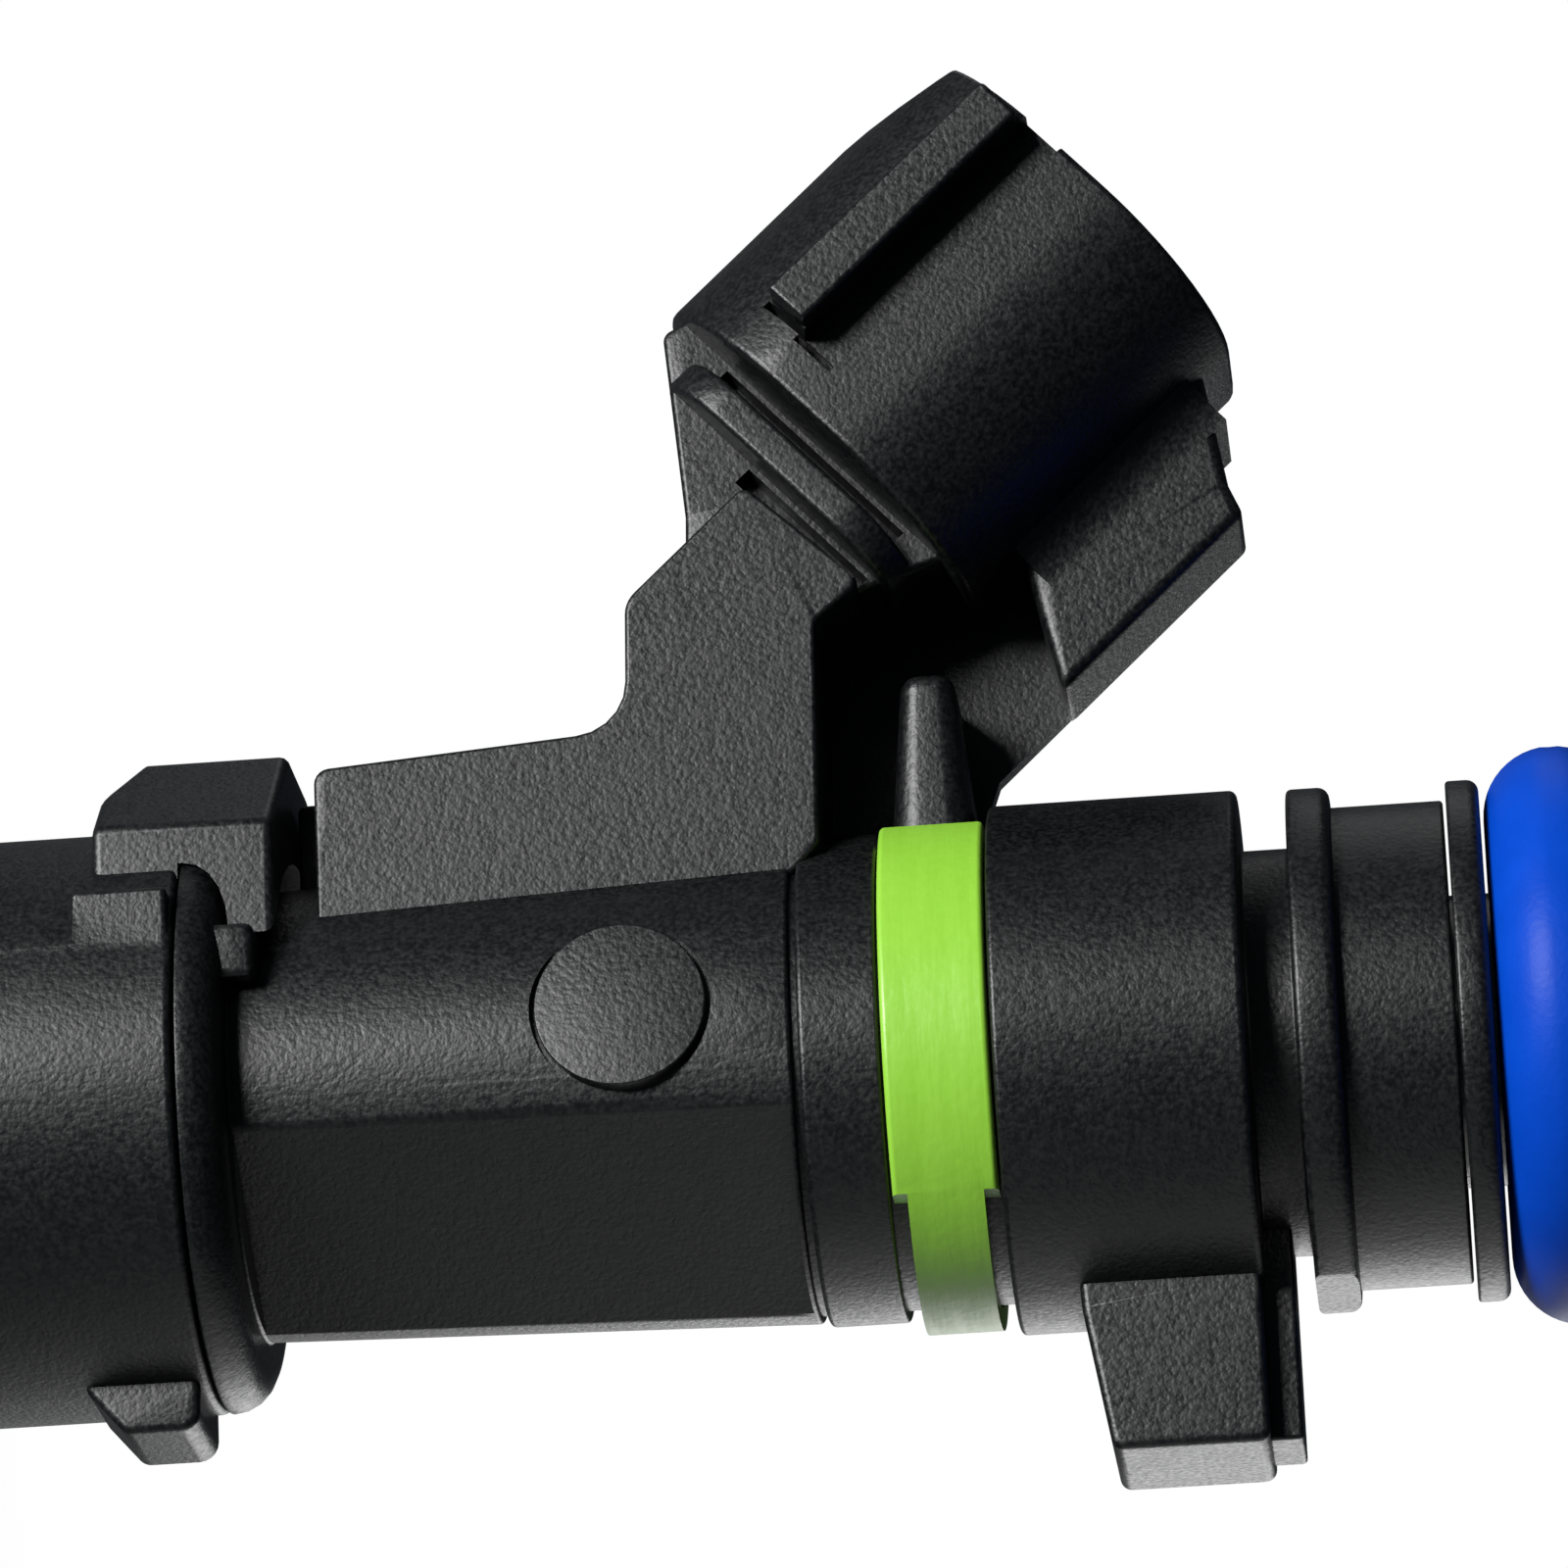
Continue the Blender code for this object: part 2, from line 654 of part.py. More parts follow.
def make_id_band(parts, cutters, material):
    """A snap-on colour band, open at the post and narrowed to a tongue behind the tab side."""
    top, bottom = BAND_TOP - SEAT, BAND_BOTTOM + SEAT
    profile = sleeve_profile(BAND_RADIUS, BAND_FLOOR_RADIUS + FIT, top, bottom)
    band = as_part(turned("id_band", profile, OUTER_SIDES, parts), material)
    gap_half = BAND_GAP_HALF_WIDTH + FIT
    gap = block("band_gap", (-9, -gap_half, -20), (0, gap_half, -10), cutters)
    combine(band, gap, "DIFFERENCE")
    middle, start, half = (top + bottom) / 2, TONGUE_START, TONGUE_HALF_WIDTH
    upper = block("band_upper_relief", (start, -9, middle + half), (9, 9, top + 1), cutters)
    lower = block("band_lower_relief", (start, -9, bottom - 1), (9, 9, middle - half), cutters)
    combine(band, upper, "DIFFERENCE")
    combine(band, lower, "DIFFERENCE")


def ring(name, height, parts, material):
    """An O-ring about the axis."""
    section = arc((RING_CENTRE, height), RING_SECTION, 180, -180, 12)[:-1]
    return as_part(turned(name, section, OUTER_SIDES, parts), material)


def make_sleeve(parts, cutters, material):
    """The push-on sleeve, with the hook that snaps over the body's shoulder and a plain lug opposite."""
    outer = [
        (0, SLEEVE_TOP),
        (SLEEVE_RADIUS - SLEEVE_CHAMFER, SLEEVE_TOP),
        (SLEEVE_RADIUS, SLEEVE_TOP - SLEEVE_CHAMFER),
        (SLEEVE_RADIUS, SLEEVE_STEP),
        (SLEEVE_SKIRT_RADIUS, SLEEVE_STEP),
        (SLEEVE_SKIRT_RADIUS, SLEEVE_END),
        (0, SLEEVE_END),
    ]
    sleeve = as_part(turned("nozzle_sleeve", outer, OUTER_SIDES, parts), material)
    w, t, root, side = HOOK_HALF_WIDTH, HOOK_TOP_HALF_WIDTH, HOOK_ROOT_REACH, HOOK_SIDE_REACH
    saddle = [(-w, root, 0), (w, root, 0), (w, side, 0.4), (t, HOOK_TOP_REACH, 0.8)]
    saddle += [(-t, HOOK_TOP_REACH, 0.8), (-w, side, 0.4)]
    upright = Matrix(((0, -1, 0, 0), (1, 0, 0, 0), (0, 0, 1, 0), (0, 0, 0, 1)))
    low, high = HOOK_LOW, HOOK_END
    frame = Matrix.Translation((0, 0, (low + high) / 2 * MM)) @ upright
    hook = plate("hook", rounded(saddle, 2), (high - low) / 2, frame, cutters)
    slope_start = Matrix.Translation(Vector((-HOOK_TOP_REACH, 0, HOOK_SLOPE_HEIGHT)) * MM)
    slope_frame = slope_start @ Matrix.Rotation(HOOK_SLOPE, 4, "Y")
    slope = block("hook_slope", (-6, -8, -3), (6, 8, 0), cutters, slope_frame)
    combine(hook, slope, "DIFFERENCE")
    combine(sleeve, hook, "UNION")
    combine(sleeve, block("ledge", LEDGE_LOW, LEDGE_HIGH, cutters), "UNION")
    end = -LUG_REACH
    lug_corners = [(-6.0, -37.6, 0), (-7.3, -37.6, 0), (end, -36.6, 0.4), (end, -34.7, 0.5), (-6.0, -34.7, 0)]
    combine(sleeve, plate("lug", rounded(lug_corners, 3), LUG_HALF_WIDTH, SIDE, cutters), "UNION")
    inside = [
        (0, -30),
        (HOOK_BORE, -30),
        (HOOK_BORE, DOME_TOP + HOOK_GAP),
        (SHOULDER_RADIUS + SHOULDER_GAP, DOME_TOP + HOOK_GAP),
        (SHOULDER_RADIUS + SHOULDER_GAP, SLEEVE_TOP),
        (POT_RADIUS + FIT, SLEEVE_TOP),
        (POT_RADIUS + FIT, POT_END - SEAT),
        (TUBE_RADIUS + FIT, POT_END - SEAT),
        (TUBE_RADIUS + FIT, SLEEVE_END - 1),
        (0, SLEEVE_END - 1),
    ]
    combine(sleeve, turned("sleeve_bore", inside, OUTER_SIDES, cutters), "DIFFERENCE")


def make_rings(parts, plastic, rubber, dark_rubber):
    ring("upper_o_ring", 0, parts, rubber)
    ring("lower_o_ring", -RING_SPAN, parts, dark_rubber)
    inner = TUBE_RADIUS + FIT
    top = -RING_SECTION - SEAT
    backing = [
        (BACKING_TOP_RADIUS, top),
        (BACKING_RADIUS, top - BACKING_CHAMFER),
        (BACKING_RADIUS, BODY_TOP + SEAT),
        (inner, BODY_TOP + SEAT),
        (inner, top),
    ]
    as_part(turned("o_ring_backing_ring", backing, OUTER_SIDES, parts), plastic)
    tip_top = -RING_SPAN - RING_SECTION - SEAT
    retainer = [
        (RETAINER_RADIUS, tip_top),
        (RETAINER_RADIUS, tip_top - RETAINER_RIM),
        (RETAINER_TIP_RADIUS, tip_top - RETAINER_HEIGHT),
        (inner, tip_top - RETAINER_HEIGHT),
        (inner, tip_top),
    ]
    as_part(turned("tip_retainer", retainer, OUTER_SIDES, parts), plastic)


def make_inlet(parts, cutters, steel, brass, cage_plastic, gauze):
    """The fuel tube with its lip, and the filter inside it."""
    lip_low = RING_SECTION + LIP_GAP
    lip = arc((LIP_RADIUS - LIP_ROUND, TUBE_TOP - LIP_ROUND), LIP_ROUND, 90, -90, 4)
    tube = [
        (TUBE_BORE + BORE_CHAMFER, TUBE_TOP),
        *lip,
        (TUBE_RADIUS, lip_low),
        (TUBE_RADIUS, TUBE_END),
        (TUBE_BORE, TUBE_END),
        (TUBE_BORE, TUBE_TOP - BORE_CHAMFER),
    ]
    as_part(turned("fuel_tube", tube, OUTER_SIDES, parts), steel)
    outer = TUBE_BORE - FIT
    rim = sleeve_profile(outer, FILTER_RADIUS, FILTER_RIM_TOP, FILTER_RIM_END)
    as_part(turned("filter_rim", rim, INNER_SIDES, parts), brass)
    cage = [
        (0, FILTER_FLOOR),
        (FILTER_BORE, FILTER_FLOOR),
        (FILTER_BORE, FILTER_TOP),
        (outer, FILTER_TOP),
        (outer, FILTER_SHOULDER),
        (FILTER_RADIUS, FILTER_SHOULDER),
        (FILTER_RADIUS, FILTER_END),
        (0, FILTER_END),
    ]
    frame = as_part(turned("filter_frame", cage, INNER_SIDES, parts), cage_plastic)
    for name, turn in (("window_x", 0), ("window_y", 90)):
        facing = Matrix.Rotation(math.radians(turn), 4, "Z")
        low, high = (-4, -WINDOW_HALF_WIDTH, WINDOW_END), (4, WINDOW_HALF_WIDTH, WINDOW_TOP)
        window = block(name, low, high, cutters, facing)
        combine(frame, window, "DIFFERENCE")
    screen = sleeve_profile(FILTER_BORE - FIT, SCREEN_BORE, SCREEN_TOP, SCREEN_END)
    as_part(turned("filter_screen", screen, INNER_SIDES, parts), gauze)


def make_magnet(parts, steel, iron, bobbin_plastic, copper):
    """Valve tube, pole core, coil and the iron around it."""
    bore = VALVE_TUBE_RADIUS + FIT
    tube = sleeve_profile(VALVE_TUBE_RADIUS, VALVE_TUBE_BORE, VALVE_TUBE_TOP, VALVE_TUBE_END)
    as_part(turned("valve_tube", tube, INNER_SIDES, parts), steel)
    core = sleeve_profile(CORE_RADIUS, CORE_BORE, CORE_TOP, CORE_END)
    as_part(turned("pole_core", core, INNER_SIDES, parts), iron)
    adjuster_end = SPRING_TOP + SPRING_WIRE + SEAT
    adjuster = sleeve_profile(CORE_BORE - FIT, ADJUSTER_BORE, ADJUSTER_TOP, adjuster_end)
    as_part(turned("adjusting_tube", adjuster, INNER_SIDES, parts), steel)
    washer_top = POT_TOP - WASHER_GAP
    washer_end = washer_top - WASHER_THICKNESS
    washer = sleeve_profile(POT_BORE - FIT, bore, washer_top, washer_end)
    as_part(turned("flux_washer", washer, INNER_SIDES, parts), iron)
    pot = [
        (POT_RADIUS, POT_TOP),
        (POT_RADIUS, POT_END + POT_CHAMFER_HEIGHT),
        (POT_RADIUS - POT_CHAMFER, POT_END),
        (bore, POT_END),
        (bore, POT_FLOOR),
        (POT_BORE, POT_FLOOR),
        (POT_BORE, POT_TOP),
    ]
    as_part(turned("flux_cup", pot, OUTER_SIDES, parts), iron)
    top, end, flange = washer_end - SEAT, POT_FLOOR + SEAT, BOBBIN_FLANGE
    bobbin = [
        (BOBBIN_RADIUS, top),
        (BOBBIN_RADIUS, top - flange),
        (BOBBIN_CORE_RADIUS, top - flange),
        (BOBBIN_CORE_RADIUS, end + flange),
        (BOBBIN_RADIUS, end + flange),
        (BOBBIN_RADIUS, end),
        (bore, end),
        (bore, top),
    ]
    as_part(turned("coil_bobbin", bobbin, INNER_SIDES, parts), bobbin_plastic)
    winding_core = BOBBIN_CORE_RADIUS + FIT
    winding = sleeve_profile(WINDING_RADIUS, winding_core, top - flange - SEAT, end + flange + SEAT)
    as_part(turned("coil_winding", winding, INNER_SIDES, parts), copper)


def make_spring(parts, material):
    """The closing spring, a helix on the needle's axis."""
    count = SPRING_TURNS * SPRING_POINTS_PER_TURN + 1
    curve = bpy.data.curves.new("return_spring", "CURVE")
    curve.dimensions = "3D"
    curve.bevel_depth = SPRING_WIRE * MM
    curve.bevel_resolution = 1
    curve.use_fill_caps = True
    spline = curve.splines.new("POLY")
    spline.points.add(count - 1)
    for i, point in enumerate(spline.points):
        angle = 2 * math.pi * i / SPRING_POINTS_PER_TURN
        height = SPRING_TOP + (SPRING_END - SPRING_TOP) * i / (count - 1)
        x, y = SPRING_RADIUS * math.cos(angle), SPRING_RADIUS * math.sin(angle)
        point.co = (x * MM, y * MM, height * MM, 1)
    pitch = (SPRING_TOP - SPRING_END) / SPRING_TURNS
    print(f"return_spring least gap between turns: {pitch - 2 * SPRING_WIRE:.2f} mm")
    return as_part(new_object("return_spring", curve, parts), material)


def make_needle(parts, iron, steel):
    """Armature, needle tube and ball, which lift together along the axis."""
    axis = new_object("needle_axis", None, parts)
    top = CORE_END - NEEDLE_GAP
    end = top - ARMATURE_LENGTH
    pocket, socket_top = SPRING_END - SPRING_WIRE - SPRING_SEAT_GAP, end + ARMATURE_GRIP
    armature = [
        (CORE_RADIUS - ARMATURE_SLIDE, top),
        (CORE_RADIUS - ARMATURE_SLIDE, end),
        (NEEDLE_RADIUS + FIT, end),
        (NEEDLE_RADIUS + FIT, socket_top),
        (NEEDLE_BORE, socket_top),
        (NEEDLE_BORE, pocket),
        (CORE_BORE, pocket),
        (CORE_BORE, top),
    ]
    moving = [as_part(turned("armature", armature, INNER_SIDES, parts), iron)]
    needle = sleeve_profile(NEEDLE_RADIUS, NEEDLE_BORE, socket_top - SEAT, NEEDLE_END)
    moving.append(as_part(turned("needle_tube", needle, INNER_SIDES, parts), steel))
    ball = arc((0, ball_height()), BALL_RADIUS, 90, -90, 12)
    ball[0] = (0, ball[0][1])
    ball[-1] = (0, ball[-1][1])
    moving.append(as_part(turned("valve_ball", ball, INNER_SIDES, parts), steel))
    for piece in moving:
        piece.parent = axis


def ball_height():
    """The ball's centre, where the needle tube's end sits on it."""
    return NEEDLE_END - SEAT - math.sqrt(BALL_RADIUS**2 - NEEDLE_BORE**2)


def make_nozzle(parts, cutters, steel, seat_steel):
    """The nozzle body with the seat and the spray plate in its end."""
    guide = BALL_RADIUS + FIT
    contact = (BALL_RADIUS + BALL_SEAT_GAP) / math.sqrt(2)
    contact_height = ball_height() - contact
    seat = [
        (SEAT_RADIUS, SEAT_BLOCK_TOP),
        (SEAT_RADIUS, SEAT_BLOCK_END),
        (SEAT_EXIT_RADIUS, SEAT_BLOCK_END),
        (SEAT_EXIT_RADIUS, contact_height - (contact - SEAT_EXIT_RADIUS)),
        (guide, contact_height + (guide - contact)),
        (guide, SEAT_BLOCK_TOP),
    ]
    as_part(turned("valve_seat", seat, INNER_SIDES, parts), seat_steel)
    plate_top = SEAT_BLOCK_END - SEAT
    plate_end = plate_top - SPRAY_PLATE_THICKNESS
    disc = [(0, plate_top), (SPRAY_PLATE_RADIUS, plate_top), (SPRAY_PLATE_RADIUS, plate_end), (0, plate_end)]
    spray = as_part(turned("spray_plate", disc, INNER_SIDES, parts), seat_steel)
    for index in range(4):
        angle = math.radians(45 + 90 * index)
        radius = SPRAY_HOLE_RADIUS
        above, below = plate_top + 0.5, plate_end - 0.5
        drill = [(0, above), (radius, above), (radius, below), (0, below)]
        hole = turned(f"spray_hole_{index}", drill, SPRAY_HOLE_SIDES, cutters)
        hole.location = Vector((math.cos(angle), math.sin(angle), 0)) * SPRAY_HOLE_CIRCLE * MM
        combine(spray, hole, "DIFFERENCE")
    bore = VALVE_TUBE_RADIUS + FIT
    rim = plate_top - NOZZLE_RIM
    nozzle = [
        (TUBE_RADIUS, POT_END - 2 * SEAT),
        (TUBE_RADIUS, rim + NOZZLE_CHAMFER),
        (TUBE_RADIUS - NOZZLE_CHAMFER, rim),
        (NOZZLE_EXIT_RADIUS, rim),
        (NOZZLE_EXIT_RADIUS, plate_end - SEAT),
        (SEAT_RADIUS + FIT, plate_end - SEAT),
        (SEAT_RADIUS + FIT, SEAT_BLOCK_TOP + SEAT),
        (NOZZLE_BORE, SEAT_BLOCK_TOP + SEAT),
        (NOZZLE_BORE, VALVE_TUBE_END - SEAT),
        (bore, VALVE_TUBE_END - SEAT),
        (bore, POT_END - 2 * SEAT),
    ]
    as_part(turned("nozzle_body", nozzle, OUTER_SIDES, parts), steel)


def main():
    clear_scene()
    parts = collection("fuel_injector")
    cutters = collection("cutters")
    black = plain_material("black_nylon", (0.028, 0.029, 0.031), 0.5)
    green = plain_material("green_band_plastic", (0.36, 0.70, 0.09), 0.45)
    blue = plain_material("blue_rubber", (0.005, 0.085, 0.55), 0.45)
    dark = plain_material("brown_rubber", (0.05, 0.028, 0.02), 0.55)
    steel = plain_material("stainless_steel", (0.62, 0.62, 0.61), 0.3, 1.0)
    iron = plain_material("plated_iron", (0.50, 0.51, 0.50), 0.38, 1.0)
    brass = plain_material("brass", (0.72, 0.53, 0.22), 0.3, 1.0)
    tin = plain_material("tinned_brass", (0.70, 0.68, 0.63), 0.32, 1.0)
    natural = plain_material("natural_nylon", (0.66, 0.60, 0.46), 0.5)
    copper = plain_material("copper_wire", (0.60, 0.24, 0.10), 0.35, 1.0)

    make_body(parts, cutters, black)
    make_terminals(parts, tin)
    make_id_band(parts, cutters, green)
    make_rings(parts, black, blue, dark)
    make_inlet(parts, cutters, steel, brass, natural, steel)
    make_magnet(parts, steel, iron, natural, copper)
    make_spring(parts, steel)
    make_needle(parts, iron, steel)
    make_nozzle(parts, cutters, steel, steel)
    make_sleeve(parts, cutters, black)


main()
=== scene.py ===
# %% [markdown]
# # A port fuel injector
# The real object is a long moulded valve: a black nylon body with a slanted plug shroud, a green
# colour band, a blue O-ring at the fuel inlet and a push-on sleeve at the nozzle. The packed CAD
# model gives the sizes. This lesson rebuilds each visible piece with fine curves and soft edges,
# and gives every piece a finish made from nodes.

# %% The packed frame
import math

import bmesh
import bpy
from mathutils import Matrix, Vector


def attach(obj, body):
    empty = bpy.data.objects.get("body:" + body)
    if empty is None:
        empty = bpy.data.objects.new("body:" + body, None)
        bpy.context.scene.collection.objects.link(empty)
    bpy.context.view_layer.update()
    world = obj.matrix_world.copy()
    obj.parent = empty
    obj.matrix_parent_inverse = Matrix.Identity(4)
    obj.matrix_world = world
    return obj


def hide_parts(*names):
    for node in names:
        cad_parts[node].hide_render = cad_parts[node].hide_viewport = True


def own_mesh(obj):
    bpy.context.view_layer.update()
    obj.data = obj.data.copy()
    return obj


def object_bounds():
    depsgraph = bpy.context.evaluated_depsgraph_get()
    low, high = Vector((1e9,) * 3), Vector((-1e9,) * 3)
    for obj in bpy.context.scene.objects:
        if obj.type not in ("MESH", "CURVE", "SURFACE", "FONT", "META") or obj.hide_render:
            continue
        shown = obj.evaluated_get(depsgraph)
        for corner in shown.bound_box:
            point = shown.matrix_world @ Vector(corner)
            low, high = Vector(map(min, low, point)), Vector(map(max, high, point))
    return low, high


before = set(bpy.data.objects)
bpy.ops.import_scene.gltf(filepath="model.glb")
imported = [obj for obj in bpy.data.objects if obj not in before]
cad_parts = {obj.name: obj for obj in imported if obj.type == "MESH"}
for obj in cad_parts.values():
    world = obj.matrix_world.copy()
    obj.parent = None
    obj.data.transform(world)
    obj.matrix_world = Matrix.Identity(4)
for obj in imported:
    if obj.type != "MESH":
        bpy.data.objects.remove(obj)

cad_box = [list(corner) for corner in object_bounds()]
print("CAD box in mm:", [[round(1000 * v, 2) for v in corner] for corner in cad_box])

# %% [markdown]
# ## Outlines with round corners
# A moulded part has no sharp corners. A corner is written here as (x, y, radius), and one function
# turns every corner that has a radius into an arc. Turned profiles and flat outlines both use it.

# %% Rounding a list of corners
MM = 0.001
ARC_STEPS = 5
STEPS_PER_MM = 3


def rounded(corners):
    """The outline through corners of (x, y, radius), or (x, y) for a sharp one."""
    outline = []
    for index, corner in enumerate(corners):
        here = Vector(corner[:2])
        radius = corner[2] if len(corner) > 2 else 0
        if not radius:
            outline.append(tuple(here))
            continue
        before = (Vector(corners[index - 1][:2]) - here).normalized()
        after = (Vector(corners[(index + 1) % len(corners)][:2]) - here).normalized()
        half = before.angle(after) / 2
        centre = here + (before + after).normalized() * radius / math.sin(half)
        start = here + before * radius / math.tan(half) - centre
        end = here + after * radius / math.tan(half) - centre
        first = math.atan2(start.y, start.x)
        turn = (math.atan2(end.y, end.x) - first + math.pi) % (2 * math.pi) - math.pi
        steps = max(ARC_STEPS, round(STEPS_PER_MM * radius))
        for step in range(steps + 1):
            angle = first + turn * step / steps
            outline.append((centre.x + radius * math.cos(angle), centre.y + radius * math.sin(angle)))
    return outline


rounded_square = rounded([(0, 0, 1), (4, 0, 1), (4, 4, 1), (0, 4, 1)])
print("a square with round corners has", len(rounded_square), "points")

# %% [markdown]
# ## Turned shapes, plates and blocks
# Most of the injector is turned about one axis, so a closed profile is spun with bmesh. The arm,
# the keel and the tab are flat plates, so an outline is extruded. A bevel on the sharp edges of
# each plate comes before the pieces are joined, because a bevel after a Boolean is easily torn.

# %% Making the basic solids
TURN_STEPS = 128
SAME_POINT = 1e-7
BEVEL_ANGLE = math.radians(40)
BEVEL_STEPS = 3


def mesh_object(name, shape):
    """A linked object from a bmesh, welded and with its normals outward."""
    bmesh.ops.remove_doubles(shape, verts=shape.verts, dist=SAME_POINT)
    bmesh.ops.recalc_face_normals(shape, faces=shape.faces)
    mesh = bpy.data.meshes.new(name)
    shape.to_mesh(mesh)
    shape.free()
    obj = bpy.data.objects.new(name, mesh)
    bpy.context.scene.collection.objects.link(obj)
    return obj


def turned(name, corners, steps=TURN_STEPS):
    """Spins a closed outline of (radius, height, fillet) about Z."""
    shape = bmesh.new()
    points = [shape.verts.new((r * MM, 0, z * MM)) for r, z in rounded(corners)]
    edges = []
    for index, point in enumerate(points):
        if point.co.x or points[index - 1].co.x:
            edges.append(shape.edges.new((points[index - 1], point)))
    bmesh.ops.spin(
        shape, geom=points + edges, axis=(0, 0, 1), cent=(0, 0, 0), angle=2 * math.pi, steps=steps
    )
    return mesh_object(name, shape)


def soften(shape, width):
    """Rounds the edges that turn sharply."""
    edges = [e for e in shape.edges if e.is_manifold and e.calc_face_angle() > BEVEL_ANGLE]
    bmesh.ops.bevel(
        shape,
        geom=edges,
        offset=width * MM,
        offset_type="OFFSET",
        segments=BEVEL_STEPS,
        profile=0.5,
        affect="EDGES",
        clamp_overlap=True,
    )


def plate(name, corners, low, high, place, edge=0.15):
    """An outline in a frame's XY plane, from one height to another along its Z."""
    shape = bmesh.new()
    face = shape.faces.new([shape.verts.new((x * MM, y * MM, low * MM)) for x, y in rounded(corners)])
    made = bmesh.ops.extrude_face_region(shape, geom=[face])
    lifted = [v for v in made["geom"] if isinstance(v, bmesh.types.BMVert)]
    bmesh.ops.translate(shape, vec=(0, 0, (high - low) * MM), verts=lifted)
    bmesh.ops.recalc_face_normals(shape, faces=shape.faces)
    if edge:
        soften(shape, edge)
    shape.transform(place)
    return mesh_object(name, shape)


def block(name, low, high, place=None, edge=0.12):
    """A box between two corners, in a frame or in the model's own."""
    outline = [(low[0], low[1]), (high[0], low[1]), (high[0], high[1]), (low[0], high[1])]
    return plate(name, outline, low[2], high[2], place or Matrix.Identity(4), edge)


print("turned shapes have", TURN_STEPS, "sides, and a bevel has", BEVEL_STEPS, "steps")

# %% [markdown]
# ## Joining and baking
# On the real object the plates and the barrel are one shot of plastic, so the solids are joined by
# Booleans. A Boolean leaves hair-thin faces where two surfaces nearly meet. They are welded after the
# modifiers are turned into plain mesh, because they would spoil the shading.

# %% Booleans and clean meshes
WELD = 0.001


def join(obj, other, operation="UNION"):
    """Adds a Boolean, and keeps the helper out of the picture."""
    boolean = obj.modifiers.new(other.name, "BOOLEAN")
    boolean.operation = operation
    boolean.solver = "EXACT"
    boolean.object = other
    other.hide_render = True


def cut(obj, other):
    """Takes a helper's shape away from an object."""
    join(obj, other, "DIFFERENCE")


def cleaned(mesh):
    """Welds the hair-thin faces that a Boolean leaves."""
    shape = bmesh.new()
    shape.from_mesh(mesh)
    bmesh.ops.remove_doubles(shape, verts=shape.verts, dist=WELD * MM)
    bmesh.ops.dissolve_degenerate(shape, dist=WELD * MM, edges=shape.edges)
    bmesh.ops.triangulate(shape, faces=[f for f in shape.faces if len(f.verts) > 4])
    bmesh.ops.dissolve_degenerate(shape, dist=WELD * MM, edges=shape.edges)
    shape.to_mesh(mesh)
    shape.free()
    mesh.validate()


def baked(obj):
    """Turns the object's modifiers into plain mesh, and deletes the helpers that they used."""
    helpers = [m.object for m in obj.modifiers if m.type == "BOOLEAN"]
    bpy.context.view_layer.update()
    mesh = bpy.data.meshes.new_from_object(obj.evaluated_get(bpy.context.evaluated_depsgraph_get()))
    obj.modifiers.clear()
    obj.data = mesh
    mesh.name = obj.name
    for helper in helpers:
        bpy.data.objects.remove(helper, do_unlink=True)
    if helpers:
        cleaned(mesh)
    return obj


print("points closer than", WELD, "mm are welded after a Boolean")

# %% [markdown] ## Finishing a piece A finished piece is smooth where the surface bends gently
# and sharp where it turns quickly. A Weighted Normal modifier then lets the big faces decide the
# shading, so the narrow bevels catch the light as real rounded edges do.

# %% Shading and registering
INJECTOR = "injector"


def finished(obj, node, material, body=INJECTOR, sharp=42):
    """Bakes, shades and registers a piece that replaces one CAD node."""
    baked(obj)
    obj.data.shade_smooth()
    obj.data.set_sharp_from_angle(angle=math.radians(sharp))
    weighted = obj.modifiers.new("weighted", "WEIGHTED_NORMAL")
    weighted.keep_sharp = True
    baked(obj)
    obj.data.materials.clear()
    obj.data.materials.append(material)
    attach(obj, body)
    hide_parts(node)
    print(f"{obj.name}: {sum(len(p.vertices) - 2 for p in obj.data.polygons)} triangles")


print("rebuilt pieces ride on the body", INJECTOR)

# %% [markdown]
# ## Shader sums
# Finishes are built from noise and waves. Node maths is hard to read as links, so a small class
# wraps a socket: adding or multiplying two of them adds the Math nodes. Any other node comes from
# its node method, which sets the node's settings first and then its sockets.


# %% A socket that can be added and multiplied
class Wire:
    def __init__(self, tree, socket=None):
        self.tree = tree
        self.socket = socket

    def node(self, kind, settings=None, sockets=None, out=0):
        made = self.tree.nodes.new(kind)
        for name, value in (settings or {}).items():
            setattr(made, name, value)
        for name, value in (sockets or {}).items():
            if isinstance(value, Wire):
                self.tree.links.new(value.socket, made.inputs[name])
            else:
                made.inputs[name].default_value = value
        return Wire(self.tree, made.outputs[out])

    def math(self, operation, first, second):
        return self.node("ShaderNodeMath", {"operation": operation}, {0: first, 1: second})

    def __add__(self, other):
        return self.math("ADD", self, other)

    def __radd__(self, other):
        return self.math("ADD", other, self)

    def __sub__(self, other):
        return self.math("SUBTRACT", self, other)

    def __rsub__(self, other):
        return self.math("SUBTRACT", other, self)

    def __mul__(self, other):
        return self.math("MULTIPLY", self, other)

    def __rmul__(self, other):
        return self.math("MULTIPLY", other, self)

    def __truediv__(self, other):
        return self.math("DIVIDE", self, other)

    def ranged(self, low, high, lowest=0.0, highest=1.0):
        """This value, moved from one range to another and held inside it."""
        return self.node("ShaderNodeMapRange", None, {0: self, 1: low, 2: high, 3: lowest, 4: highest})

    def vector(self, operation, other=None, out=0):
        sockets = {0: self} if other is None else {0: self, 1: other}
        return self.node("ShaderNodeVectorMath", {"operation": operation}, sockets, out)

    def upward(self):
        """A vector of this length along Z."""
        return self.node("ShaderNodeCombineXYZ", None, {2: self})


print("a wire can", ", ".join(name for name in vars(Wire) if not name.startswith("_")))

